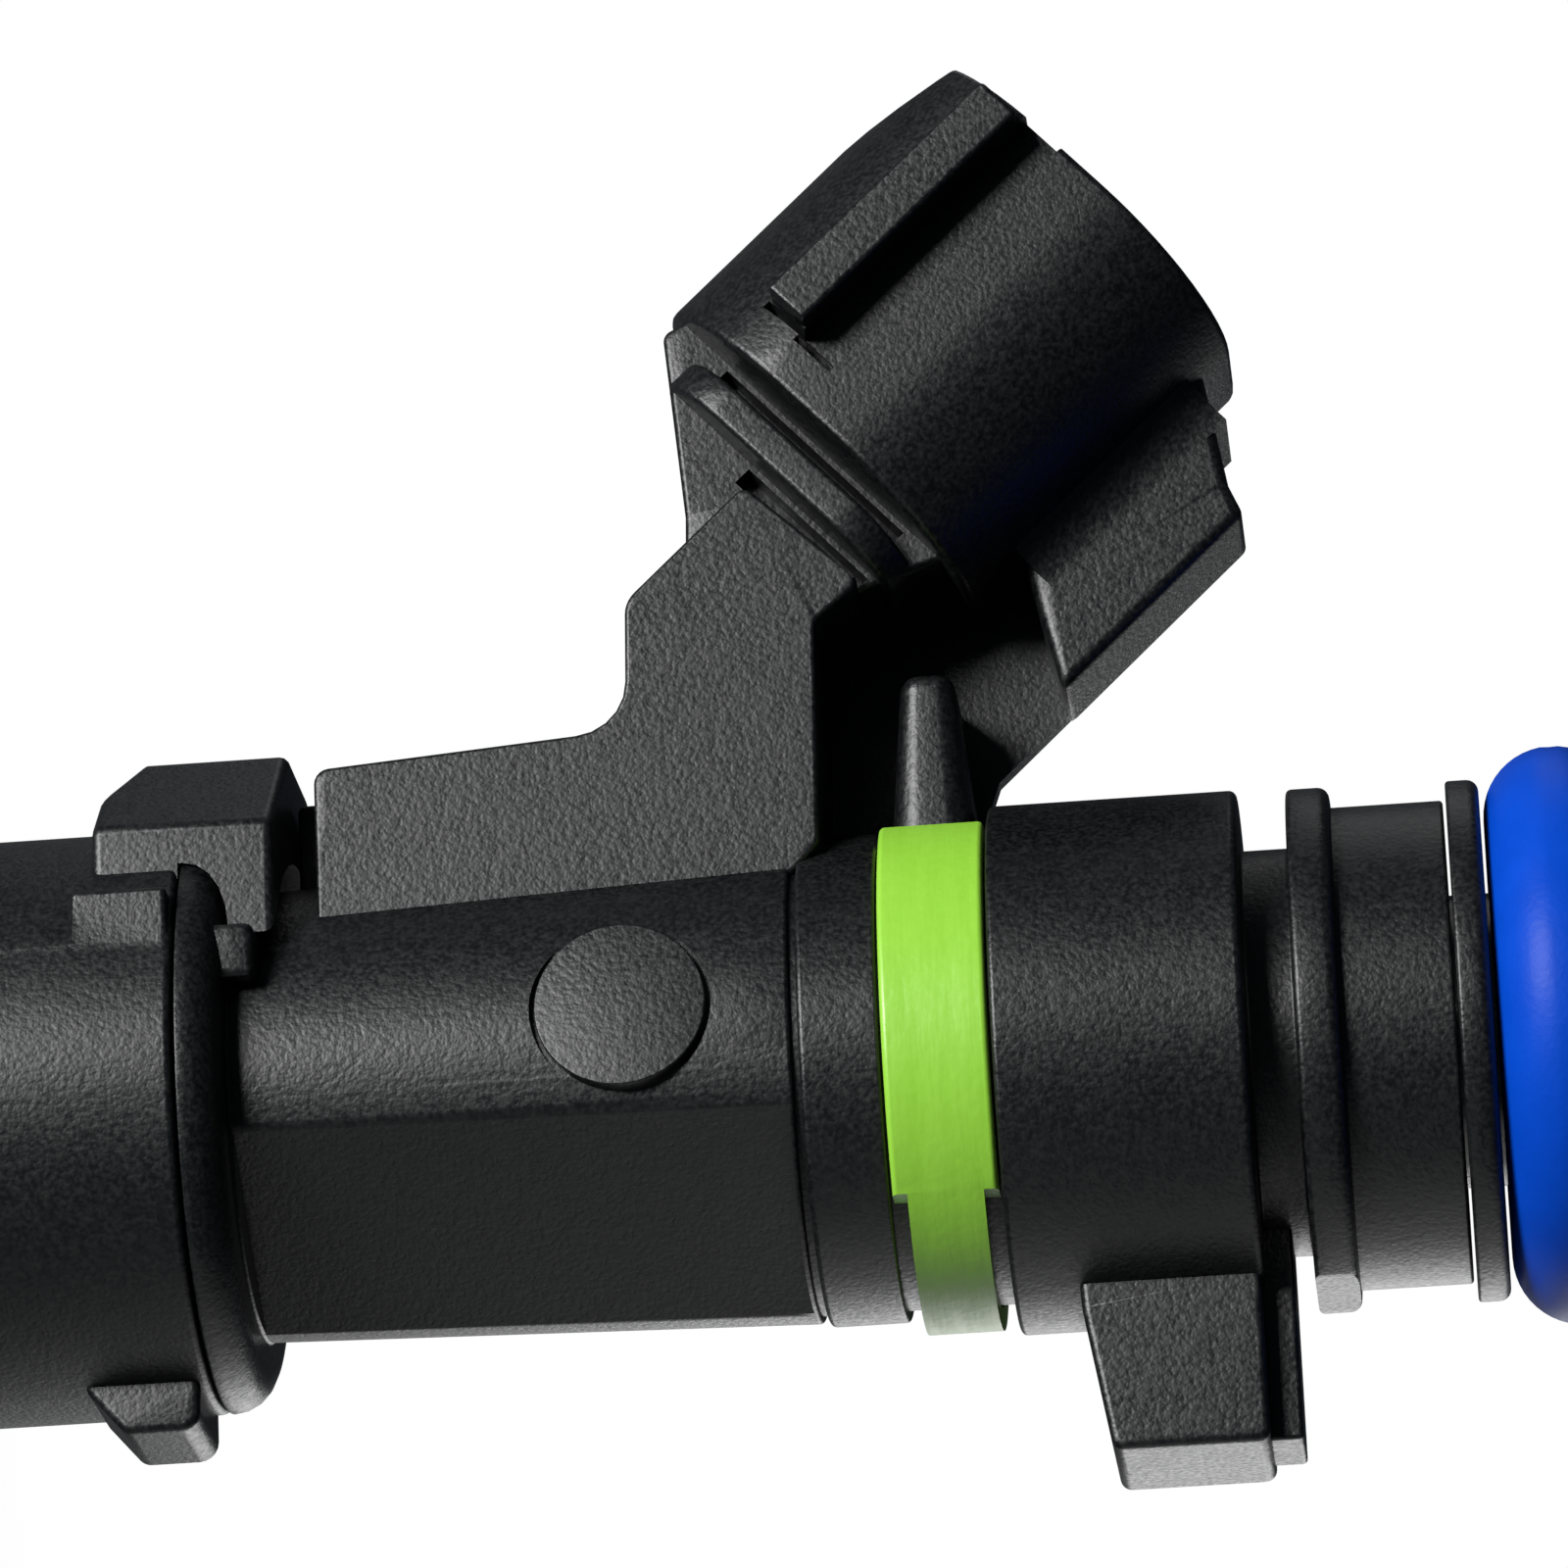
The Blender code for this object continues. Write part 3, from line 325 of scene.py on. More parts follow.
# %% [markdown]
# ## Helpers for finishes
# Every finish starts from Object coordinates, so it stays on the piece when the piece moves. The
# helpers give noise of a known grain size, mix two colours, and turn a height into a bump.


# %% Noise, colours and bumps
def finish_tree(name):
    """A new material: its tree's start, its Object coordinates and its shader."""
    material = bpy.data.materials.new(name)
    material.use_nodes = True
    tree = material.node_tree
    start = Wire(tree)
    place = start.node("ShaderNodeTexCoord", out=3)
    return material, start, place, tree.nodes["Principled BSDF"]


def noise(start, place, size, detail=3.0, roughness=0.55):
    """Noise whose grains are about this many millimetres across."""
    sockets = {"Vector": place, "Scale": 1 / (size * MM), "Detail": detail, "Roughness": roughness}
    return start.node("ShaderNodeTexNoise", None, sockets)


def blend(start, factor, low, high):
    """A colour between two, by a factor."""
    sockets = {0: factor, 6: (*low, 1), 7: (*high, 1)}
    return start.node("ShaderNodeMix", {"data_type": "RGBA"}, sockets, out=2)


def bump(start, height, depth):
    """A bump whose full height is this many millimetres."""
    return start.node("ShaderNodeBump", None, {"Strength": 1.0, "Distance": depth * MM, "Height": height})


def connect(shader, **wires):
    """Links wires to the shader's inputs of the same names."""
    for name, wire in wires.items():
        socket = shader.inputs[name.replace("_", " ").title()]
        wire.tree.links.new(wire.socket, socket)


print("materials before the finishes:", len(bpy.data.materials))

# %% [markdown]
# ## Black glass-filled nylon
# The body and the sleeve are nylon with glass fibre, so the surface is not a smooth black: fine
# grain from the mould breaks up the highlight, and the fibres give paler flecks. Two sizes of noise
# make the grain, and a third, slower one changes the gloss a little from place to place.

# %% The moulded plastics
BLACK = (0.0012, 0.0016, 0.0021)
FLECK = (0.008, 0.0085, 0.0085)


def grained_nylon(name, colour, fleck, roughness, grain_depth=0.024):
    material, start, place, shader = finish_tree(name)
    fine = noise(start, place, 0.13, 1.0, 0.5)
    coarse = noise(start, place, 0.34, 2.0)
    cloud = noise(start, place, 5.0, 2.0)
    grain = fine * 0.6 + coarse * 0.4
    speck = grain.ranged(0.40, 0.66)
    colour_wire = blend(start, speck, colour, fleck)
    gloss = roughness - 0.05 + cloud * 0.10 + (fine - 0.5) * 0.3
    connect(shader, base_color=colour_wire, roughness=gloss, normal=bump(start, grain, grain_depth))
    return material


black_nylon = grained_nylon("grained_black_nylon", BLACK, FLECK, 0.40)
sleeve_nylon = grained_nylon("sleeve_black_nylon", BLACK, FLECK, 0.40, 0.022)
pale_nylon = grained_nylon("natural_nylon_cage", (0.60, 0.53, 0.38), (0.70, 0.64, 0.50), 0.48, 0.01)


def band_plastic():
    """Bright green, with faint flow lines round the band."""
    material, start, place, shader = finish_tree("green_band_plastic")
    stretched = start.node("ShaderNodeMapping", None, {"Vector": place, "Scale": (0.25, 0.25, 2.2)})
    flow = noise(start, stretched, 1.1, 3.0)
    fine = noise(start, place, 0.3, 2.0)
    colour_wire = blend(start, flow * 0.7 + fine * 0.3, (0.198, 0.458, 0.026), (0.282, 0.58, 0.057))
    gloss = 0.30 + flow * 0.16
    connect(shader, base_color=colour_wire, roughness=gloss, normal=bump(start, fine * 0.5 + flow, 0.02))
    return material


green_plastic = band_plastic()


def seal_rubber(name, low, high, roughness):
    """Moulded rubber with a soft bloom on it."""
    material, start, place, shader = finish_tree(name)
    bloom = noise(start, place, 1.6, 4.0)
    fine = noise(start, place, 0.18, 2.0)
    colour_wire = blend(start, bloom, low, high)
    gloss = roughness - 0.05 + bloom * 0.14
    connect(shader, base_color=colour_wire, roughness=gloss, normal=bump(start, fine + bloom, 0.008))
    shader.inputs["Specular IOR Level"].default_value = 0.1
    return material


blue_rubber = seal_rubber("blue_seal_rubber", (0.0007, 0.040, 0.36), (0.0012, 0.056, 0.47), 0.40)
brown_rubber = seal_rubber("brown_seal_rubber", (0.036, 0.018, 0.012), (0.06, 0.033, 0.022), 0.42)
print("plastics and rubbers:", len(bpy.data.materials), "materials so far")

# %% [markdown]
# ## Metals
# The tubes are drawn and turned, so fine lines run round the axis. Noise that is stretched flat
# along Z gives those lines. Iron parts are plated, brass is pressed, and the plug blades are tinned:
# the same function makes them all, with other colours and line sizes.


# %% The drawn and plated metals
def turned_metal(name, low, high, roughness, line=0.05, depth=0.004):
    material, start, place, shader = finish_tree(name)
    squeezed = start.node("ShaderNodeMapping", None, {"Vector": place, "Scale": (0.06, 0.06, 1.0)})
    lines = noise(start, squeezed, line, 4.0, 0.65)
    stain = noise(start, place, 2.5, 3.0)
    colour_wire = blend(start, lines * 0.6 + stain * 0.4, low, high)
    gloss = roughness - 0.08 + lines * 0.10 + stain * 0.08
    connect(shader, base_color=colour_wire, roughness=gloss, normal=bump(start, lines, depth))
    shader.inputs["Metallic"].default_value = 1.0
    return material


steel = turned_metal("turned_stainless_steel", (0.50, 0.50, 0.49), (0.68, 0.68, 0.67), 0.28)
iron = turned_metal("plated_iron", (0.40, 0.41, 0.40), (0.56, 0.56, 0.54), 0.38, 0.09)
brass = turned_metal("pressed_brass", (0.60, 0.42, 0.15), (0.78, 0.58, 0.26), 0.30)
tin = turned_metal("tinned_blade", (0.62, 0.60, 0.56), (0.76, 0.74, 0.70), 0.32, 0.12)
copper = turned_metal("enamelled_copper", (0.50, 0.17, 0.06), (0.68, 0.28, 0.12), 0.30, 0.2)
print("finishes:", ", ".join(sorted(m.name for m in bpy.data.materials)))

# %% [markdown]
# ## The body's turned part
# The moulded body is a stack of turned steps: a neck under the O-ring, a flange, a clip slot, an
# upper barrel, the groove of the colour band, a collar, a seam and the long lower barrel that ends
# in a round shoulder. The profile is written once, with a small fillet at every outer corner.

# %% The profile of the moulded body
NECK_RADIUS = 6.1
FLANGE_RADIUS = 6.63
SLOT_RADIUS = 5.15
UPPER_RADIUS = 6.7
GROOVE_RADIUS = 5.9
RIM_RADIUS = 6.2
BARREL_TOP_RADIUS = 6.1
BARREL_LOW_RADIUS = 5.7
SHOULDER_RADIUS = 7.45
FILLET = 0.14
BODY_TOP = -2.76
FLANGE_TOP = -5.6
SLOT_TOP = -6.69
SLOT_LOW = -7.93
BAND_TOP = -14.2
BAND_LOW = -17.0
SEAM = -19.2
SEAM_WIDTH = 0.2
DOME_TOP = -33.3
SHOULDER_END = -34.35

body_profile = [
    (0, BODY_TOP),
    (NECK_RADIUS, BODY_TOP, 0.1),
    (NECK_RADIUS, FLANGE_TOP, 0.05),
    (FLANGE_RADIUS, FLANGE_TOP, 0.3),
    (FLANGE_RADIUS, SLOT_TOP, FILLET),
    (SLOT_RADIUS, SLOT_TOP, 0.1),
    (SLOT_RADIUS, SLOT_LOW, 0.1),
    (UPPER_RADIUS, SLOT_LOW, 0.2),
    (UPPER_RADIUS, BAND_TOP, FILLET),
    (GROOVE_RADIUS, BAND_TOP),
    (GROOVE_RADIUS, BAND_LOW),
    (RIM_RADIUS, BAND_LOW, 0.1),
    (RIM_RADIUS, SEAM + SEAM_WIDTH, FILLET),
    (GROOVE_RADIUS, SEAM + SEAM_WIDTH),
    (GROOVE_RADIUS, SEAM + 0.02),
    (BARREL_TOP_RADIUS, SEAM, 0.1),
    (BARREL_LOW_RADIUS, DOME_TOP, 0.1),
    (SHOULDER_RADIUS, DOME_TOP, 1.0),
    (SHOULDER_RADIUS, SHOULDER_END, 0.05),
    (0, SHOULDER_END),
]
body = turned("moulded_body", body_profile)
print("body profile spun in", TURN_STEPS, "steps")

# %% [markdown]
# ## The shroud's own frame
# The plug shroud leans away from the inlet. A frame with one axis across the injector, one across
# the shroud and one running in from the mouth lets the shroud be drawn as if it stood upright. The
# outlines of the arm and the keel are drawn from the side, as (reach, height).

# %% Frames for the shroud and for side outlines
MOUTH_REACH = 22.5
MOUTH_HEIGHT = -11.1
SHROUD_LEAN = math.radians(42.5)
SHROUD_LENGTH = 9.55
SHROUD_HALF_WIDTH = 5.6
SHROUD_BACK = 5.5
SHROUD_FRONT = 5.1
SHROUD_CORNER = 4.4
SHROUD_WALL = 1.1
SIDE = Matrix(((-1, 0, 0, 0), (0, 0, 1, 0), (0, 1, 0, 0), (0, 0, 0, 1)))


def shroud_point(across, depth):
    """(reach, height) of a point across the shroud, towards the inlet, and in from its mouth."""
    lean = SHROUD_LEAN
    reach = MOUTH_REACH - across * math.cos(lean) - depth * math.sin(lean)
    return reach, MOUTH_HEIGHT + across * math.sin(lean) - depth * math.cos(lean)


def shroud_frame(depth=0.0):
    """The frame of the shroud, this far in from its mouth."""
    lean = SHROUD_LEAN
    reach, height = shroud_point(0, depth)
    towards_inlet = Vector((math.cos(lean), 0, math.sin(lean)))
    inwards = Vector((math.sin(lean), 0, -math.cos(lean)))
    placed = Matrix((Vector((0, 1, 0)), towards_inlet, inwards)).transposed().to_4x4()
    placed.translation = Vector((-reach, 0, height)) * MM
    return placed


def oval(half_width, back, front, corner):
    """A rectangle with large round corners."""
    w = half_width
    return [(-w, -back, corner), (w, -back, corner), (w, front, corner), (-w, front, corner)]


print("mouth of the shroud in mm:", [round(1000 * v, 2) for v in shroud_frame().translation])

# %% [markdown]
# ## Arm, spine, web and keel
# A broad flat arm climbs from the barrel to the shroud, with a narrower spine behind the shroud's
# floor. A thinner keel carries the shroud's latch side. Between arm and keel lies a deep recess, closed
# by a thin web on its far side. Each is a plate, joined to the body.

# %% The plates that carry the shroud
KEEL_EDGE = 8.85
ARM_HALF = 4.2
SPINE_HALF = 3.2
KEEL_HALF = 1.6
WEB_NEAR = 0.9
WEB_FAR = 1.5
TOE_HALF = 1.2

arm_corners = [
    (3.0, -31.1), (7.86, -31.1, 0.4), (8.4, -23.15, 1.4), (11.8, -23.05, 0.8), (14.7, -19.9, 0.3),
    (11.9, -17.0, 0.3), (10.93, -18.25, 0.4), (5.0, -18.4, 0.5), (3.0, -20.4),
]
spine_corners = [
    (10.5, -20.5), (11.5, -21.6), (14.3, -21.5, 0.6), (19.3, -21.9, 0.3), shroud_point(-4.6, 9.0),
    shroud_point(4.8, 9.0), (11.9, -17.3),
]
keel_corners = [
    shroud_point(3.6, 1.2), (*shroud_point(5.4, 1.0), 0.4), (*shroud_point(8.0, 2.7), 0.3),
    (*shroud_point(KEEL_EDGE, 3.0), 0.3), shroud_point(KEEL_EDGE, 9.6), (12.6, -12.9, 1.0),
    shroud_point(3.6, 6.6),
]
web_corners = [
    (5.2, -15.2), (5.7, -14.85), shroud_point(KEEL_EDGE - 0.1, 12.0),
    shroud_point(KEEL_EDGE - 0.1, 9.0), (11.0, -12.0), shroud_point(4.2, 5.0),
    shroud_point(3.0, 9.0), (11.4, -19.0), (5.2, -19.0),
]
toe_corners = [(3.0, -31.9), (7.9, -31.9, 0.2), (7.9, -30.5), (3.0, -30.5)]
join(body, plate("arm", arm_corners, -ARM_HALF, ARM_HALF, SIDE, 0.12))
join(body, plate("arm_toe", toe_corners, -TOE_HALF, TOE_HALF, SIDE, 0.1))
join(body, plate("spine", spine_corners, -SPINE_HALF, SPINE_HALF, SIDE, 0.15))
join(body, plate("web", web_corners, WEB_NEAR, WEB_FAR, SIDE, 0))
join(body, plate("keel", keel_corners, -KEEL_HALF, KEEL_HALF, SIDE, 0.3))
print("plates joined:", len(body.modifiers))

# %% [markdown]
# One post stands in the recess, under the band's opening. It narrows towards its end, as a moulded
# post has to leave its mould. It is drawn as a plate, and each point is then moved towards its middle.

# %% The tapered post
POST_HALF = 2.6
POST_TOP = -14.45
POST_BOTTOM = -16.75
POST_ROOT = 5.0
POST_END = 9.9
POST_TAPER = 0.4
POST_CORNER = 0.8

post_corners = [
    (-POST_HALF, POST_BOTTOM, POST_CORNER), (POST_HALF, POST_BOTTOM, POST_CORNER),
    (POST_HALF, POST_TOP, POST_CORNER), (-POST_HALF, POST_TOP, POST_CORNER),
]
post_frame = Matrix(((0, 0, 1, 0), (1, 0, 0, 0), (0, 1, 0, 0), (0, 0, 0, 1)))
post = plate("post", post_corners, -POST_END, -POST_ROOT, post_frame, 0.4)
middle = (POST_TOP + POST_BOTTOM) / 2 * MM
for point in post.data.vertices:
    rise = (-point.co.x / MM - POST_ROOT) / (POST_END - POST_ROOT)
    point.co.z = middle + (point.co.z - middle) * (1 - POST_TAPER * rise)
join(body, post)
print("the post is", round(POST_END - POST_ROOT, 2), "mm long and narrows by the share", POST_TAPER)

# %% [markdown]
# ## The shroud
# The shroud is an oval tube with a guide rib and a groove on each side. Its back tapers towards the
# mouth so that the plug finds its way. A collar stands behind it, with a shadow gap on each side.

# %% The oval tube, ribs, grooves and gaps
RIB_HALF_SPAN = 6.2
RIB_START = 0.25
RIB_LENGTH = 8.0
RIB_BACK = -2.9
RIB_FRONT = -1.6
GROOVE_HALF_SPAN = 4.8
GROOVE_FRONT = -0.3
COLLAR_OVAL = (4.6, 3.9, 4.2, 2.0)
COLLAR_START = 10.15
COLLAR_END = 11.05
TAPER_LENGTH = 4.2
TAPER_ANGLE = math.radians(17)
FRONT_LIP = 0.4
GAP_LEAN = math.radians(-5)


def shadow_gap(name, side, depth, width, lateral, across):
    """A narrow slot across one side of the shroud, which leans away from the mouth as it goes in."""
    surface, deepest = lateral
    place = shroud_frame(depth) @ Matrix.Translation((side * surface * MM, 0, 0))
    place = place @ Matrix.Rotation(-side * GAP_LEAN, 4, "Y")
    ends = sorted((side * 2.0, side * (deepest - surface) / math.cos(GAP_LEAN)))
    return block(name, (ends[0], across[0], -width / 2), (ends[1], across[1], width / 2), place, 0)


shell_corners = oval(SHROUD_HALF_WIDTH, SHROUD_BACK, SHROUD_FRONT + FRONT_LIP, SHROUD_CORNER)
join(body, plate("shroud", shell_corners, 0, SHROUD_LENGTH, shroud_frame(), 0.2))
join(body, plate("collar", oval(*COLLAR_OVAL), COLLAR_START, COLLAR_END, shroud_frame(), 0.15))
rib_low = (-RIB_HALF_SPAN, RIB_BACK, RIB_START)
rib_high = (RIB_HALF_SPAN, RIB_FRONT, RIB_LENGTH)
join(body, block("ribs", rib_low, rib_high, shroud_frame(), 0.15))
shadow_gaps = [
    ("groove_end", RIB_LENGTH + 0.11, 0.22, (5.4, 4.7), (RIB_BACK, -0.35)),
    ("shroud_gap", 9.85, 0.56, (4.5, 2.55), (-3.0, 3.4)),
    ("collar_gap", 11.35, 0.5, (4.2, 2.55), (-0.7, 3.6)),
]
for side in (-1, 1):
    ends = sorted((side * GROOVE_HALF_SPAN, side * (RIB_HALF_SPAN + 1)))
    groove_low = (ends[0], RIB_FRONT, -1.0)
    groove_high = (ends[1], GROOVE_FRONT, RIB_LENGTH + 0.4)
    cut(body, block("groove", groove_low, groove_high, shroud_frame(), 0))
    for name, depth, width, lateral, across in shadow_gaps:
        cut(body, shadow_gap(name, side, depth, width, lateral, across))
taper_frame = shroud_frame(TAPER_LENGTH) @ Matrix.Translation((0, -SHROUD_BACK * MM, 0))
taper_frame = taper_frame @ Matrix.Rotation(TAPER_ANGLE, 4, "X")
cut(body, block("mouth_taper", (-8, -3, -5.5), (8, 0, 0), taper_frame, 0))
print("shroud walls are", SHROUD_WALL, "mm thick")

# %% [markdown]
# The keel doesn't meet the shroud in a crease: a hollow fillet runs along both sides. Its arc touches
# the shroud's round corner and the keel's flat side, so its centre follows from the two radii.

# %% The fillet between shroud and keel
FILLET_RADIUS = 2.2
FILLET_STEPS = 12
FILLET_START = 1.5
FILLET_END = 7.8
corner_x = SHROUD_HALF_WIDTH - SHROUD_CORNER
corner_y = SHROUD_FRONT - SHROUD_CORNER
centre_x = KEEL_HALF + FILLET_RADIUS
centre_y = corner_y + math.sqrt((SHROUD_CORNER + FILLET_RADIUS) ** 2 - (centre_x - corner_x) ** 2)
first = math.atan2(corner_y - centre_y, corner_x - centre_x) % (2 * math.pi)
hollow_side = []
for step in range(FILLET_STEPS + 1):
    angle = first + (math.pi - first) * step / FILLET_STEPS
    x = centre_x + FILLET_RADIUS * math.cos(angle)
    hollow_side.append((x, centre_y + FILLET_RADIUS * math.sin(angle)))
fillet_outline = hollow_side + [(-x, y) for x, y in reversed(hollow_side)]
fillet_outline += [(-2.0, 3.0), (2.0, 3.0)]
join(body, plate("keel_fillet", fillet_outline, FILLET_START, FILLET_END, shroud_frame(), 0))
fillet_ends = [[round(v, 2) for v in point] for point in (hollow_side[0], hollow_side[-1])]
print("the fillet's arc runs between", *fillet_ends)

# %% [markdown]
# ## Tab, catch nub, marking flat and disc
# On the side away from the shroud a tapered tab locates the injector, with a thinner stub beside it.
# A small nub stops the sleeve from turning. The lower barrel has one long flat and one plain round
# disc, both bare here.

# %% The small features of the body
TAB_REACH = 10.55
TAB_HALF = 2.3
TAB_TOP = -8.0
RELIEF_REACH = 6.35
FLAT_DISTANCE = 4.9
FLAT_TURN = math.radians(54)
FLAT_TAPER = math.radians(1.7)
DISC_RADIUS = 2.15
DISC_HEIGHT = -23.4
DISC_DISTANCE = 6.03
DISC_TURN = math.radians(-6)
DISC_GROOVE = 0.13
DISC_STEPS = 64

tab_corners = [
    (-4.5, -12.6), (-6.9, -12.5, 0.6), (-TAB_REACH, -11.9, 0.3), (-TAB_REACH, TAB_TOP, 0.3),
    (-4.5, TAB_TOP),
]
join(body, plate("tab", tab_corners, -TAB_HALF, TAB_HALF, SIDE, 0.2))
join(body, block("tab_stub", (4.5, -1.4, TAB_TOP - 0.1), (TAB_REACH - 0.2, 1.4, TAB_TOP + 0.8)))
join(body, block("catch_nub", (-3.35, -6.2, -34.2), (-1.95, -4.5, -32.5), None, 0.2))

flat_middle = (0, -FLAT_DISTANCE * MM, (SEAM + DOME_TOP) / 2 * MM)
flat_frame = Matrix.Rotation(FLAT_TURN, 4, "Z") @ Matrix.Translation(flat_middle)
flat_frame = flat_frame @ Matrix.Rotation(FLAT_TAPER, 4, "X")
half_length = (SEAM - DOME_TOP) / 2 - 0.1
cut(body, block("marking_flat", (-5, -4, -half_length), (5, 0, half_length), flat_frame, 0))

barrel_slope = math.atan((BARREL_TOP_RADIUS - BARREL_LOW_RADIUS) / (SEAM - DOME_TOP))
disc_middle = (0, -DISC_DISTANCE * MM, DISC_HEIGHT * MM)
disc_frame = Matrix.Rotation(DISC_TURN, 4, "Z") @ Matrix.Translation(disc_middle)
disc_frame = disc_frame @ Matrix.Rotation(math.radians(90) + barrel_slope, 4, "X")
groove_radius = DISC_RADIUS + DISC_GROOVE
ring_corners = [(DISC_RADIUS, 1), (groove_radius, 1), (groove_radius, -0.3), (DISC_RADIUS, -0.3)]
ring = turned("disc_ring", ring_corners, DISC_STEPS)
ring.data.transform(disc_frame)
cut(body, ring)
disc_corners = [(0, 0), (DISC_RADIUS, 0, 0.05), (DISC_RADIUS, -1.5), (0, -1.5)]
disc = turned("plain_disc", disc_corners, DISC_STEPS)
disc.data.transform(disc_frame)
join(body, disc)
relief = block("flange_relief", (RELIEF_REACH, -9, SLOT_TOP - 0.2), (9, 9, FLANGE_TOP + 0.2), None, 0)
cut(body, relief)
print("features joined:", len(body.modifiers))

# %% [markdown]
# ## Bores and the finished body
# The fuel tube passes through the middle of the body, the blades come down inside the arm and the
# coil sits in a recess below. These hollows are cut as the CAD has them, so nothing inside collides.

# %% Cutting the hollows
TUBE_RADIUS = 3.695
TUBE_HOLE_END = -26.28
VALVE_TUBE_RADIUS = 2.65
VALVE_TUBE_HOLE_END = -33.42
POT_RADIUS = 6.0
FIT = 0.07

hollow_profile = [
    (0, 1),
    (TUBE_RADIUS + FIT, 1),
    (TUBE_RADIUS + FIT, TUBE_HOLE_END),
    (VALVE_TUBE_RADIUS + FIT, TUBE_HOLE_END),
    (VALVE_TUBE_RADIUS + FIT, VALVE_TUBE_HOLE_END),
    (POT_RADIUS + FIT, VALVE_TUBE_HOLE_END),
    (POT_RADIUS + FIT, -36),
    (0, -36),
]
hollow = turned("hollow", hollow_profile)
cut(body, hollow)
print("bores have", FIT, "mm of room")

# %% [markdown]
# The blades run in slots that follow the same route as the blades, with a little more room. The
# socket is cut last, so that it goes cleanly through everything that was joined before.

# %% Slots for the blades, and the socket
BLADE_ACROSS = 1.0
BLADE_SPACING = 4.0
BLADE_WIDTH = 1.2
BLADE_HALF = 0.3
BLADE_TIP_DEPTH = 2.6
TIP_LENGTH = 0.9
SOCKET_DEPTH = 8.4
SOCKET_INSET = 1.3


def blade_outline(clearance, width):
    """A strip of this width along the blade's route, from the shroud down to the coil."""
    tip = BLADE_TIP_DEPTH
    depths = (tip - clearance, tip + TIP_LENGTH, 13.0)
    route = [shroud_point(BLADE_ACROSS, depth) for depth in depths]
    route += [(6.2, -22.5), (6.2, -29.8), (4.0, -31.3), (4.0, -33.5 - clearance)]
    points = [Vector(p) for p in route]
    left, right = [], []
    for i, point in enumerate(points):
        back = (point - points[i - 1]).normalized() if i else (points[1] - point).normalized()
        ahead = (points[i + 1] - point).normalized() if i + 1 < len(points) else back
        normal = (Vector((-back.y, back.x)) + Vector((-ahead.y, ahead.x))).normalized()
        offset = normal * (width / 2 / normal.dot(Vector((-back.y, back.x))))
        left.append(tuple(point + offset))
        right.append(tuple(point - offset))
    return left + right[::-1]


def blade_frame(side):
    """The side frame, moved to one blade."""
    return Matrix.Translation((0, side * BLADE_SPACING / 2 * MM, 0)) @ SIDE


slot_half = BLADE_HALF + FIT
slot_outline = blade_outline(0.5, BLADE_WIDTH + 2 * FIT)
for side in (-1, 1):
    slot = plate("blade_slot", slot_outline, -slot_half, slot_half, blade_frame(side), 0)
    cut(body, slot)
socket_corners = oval(
    SHROUD_HALF_WIDTH - SHROUD_WALL,
    SHROUD_BACK - SOCKET_INSET - SHROUD_WALL,
    SHROUD_FRONT - SHROUD_WALL,
    SHROUD_CORNER - SHROUD_WALL,
)
cut(body, plate("socket", socket_corners, -1.0, SOCKET_DEPTH, shroud_frame(), 0))
finished(body, "body_overmould", black_nylon)

# %% [markdown]
# ## Plug blades
# Two tinned blades stand in the socket. Their tips are thinned so that the plug slides on. The strip
# has a row of points a little below its tip, so moving the points above it inwards makes the taper.

# %% The two blades
TIP_THICKNESS_SHARE = 0.4
TIP_WIDTH_SHARE = 0.65
for name, side in (("terminal_a", -1), ("terminal_b", 1)):
    outline = blade_outline(0.0, BLADE_WIDTH)
    blade = plate(name + "_blade", outline, -BLADE_HALF, BLADE_HALF, blade_frame(side), 0.12)
    tip_spot = Vector((side * BLADE_SPACING / 2, BLADE_ACROSS, 0)) * MM
    tip_place = shroud_frame(BLADE_TIP_DEPTH) @ Matrix.Translation(tip_spot)
    to_tip = tip_place.inverted()
    for point in blade.data.vertices:
        local = to_tip @ point.co
        if local.z < TIP_LENGTH / 2 * MM:
            thinned = (local.x * TIP_THICKNESS_SHARE, local.y * TIP_WIDTH_SHARE, local.z)
            point.co = tip_place @ Vector(thinned)
    finished(blade, name, tin)

# %% [markdown]
# ## Colour band
# The band is a snap ring that sits in the groove above the collar. It is open where the post stands,
# and narrows to a tongue on the tab's side.

# %% The green band
GAP = 0.08
BAND_RADIUS = 6.55
BAND_GAP_HALF = 3.4 + FIT
TONGUE_START = 4.4
TONGUE_HALF = 0.95
band_top = BAND_TOP - GAP
band_low = BAND_LOW + GAP
band_profile = [
    (BAND_RADIUS, band_top, 0.15),
    (BAND_RADIUS, band_low, 0.15),
    (GROOVE_RADIUS + FIT, band_low),
    (GROOVE_RADIUS + FIT, band_top),
]
band = turned("colour_band", band_profile)
opening = block("band_opening", (-9, -BAND_GAP_HALF, -20), (0, BAND_GAP_HALF, -10), None, 0)
cut(band, opening)
middle = (band_top + band_low) / 2
beside_tongue = (("upper", middle + TONGUE_HALF, band_top + 1), ("lower", band_low - 1, middle - TONGUE_HALF))
for name, low, high in beside_tongue:
    cut(band, block("band_" + name, (TONGUE_START, -9, low), (9, 9, high), None, 0))
finished(band, "id_band", green_plastic)

# %% [markdown]
# ## O-rings
# Each O-ring is a torus. A moulded ring has a faint parting line round its outside, made here by a
# tiny step in the section, so it catches light as the real one does.

# %% Rings
RING_SECTION = 1.765
RING_CENTRE = 5.53
RING_SPAN = 60.65
SECTION_STEPS = 48
PARTING_STEP = 0.025


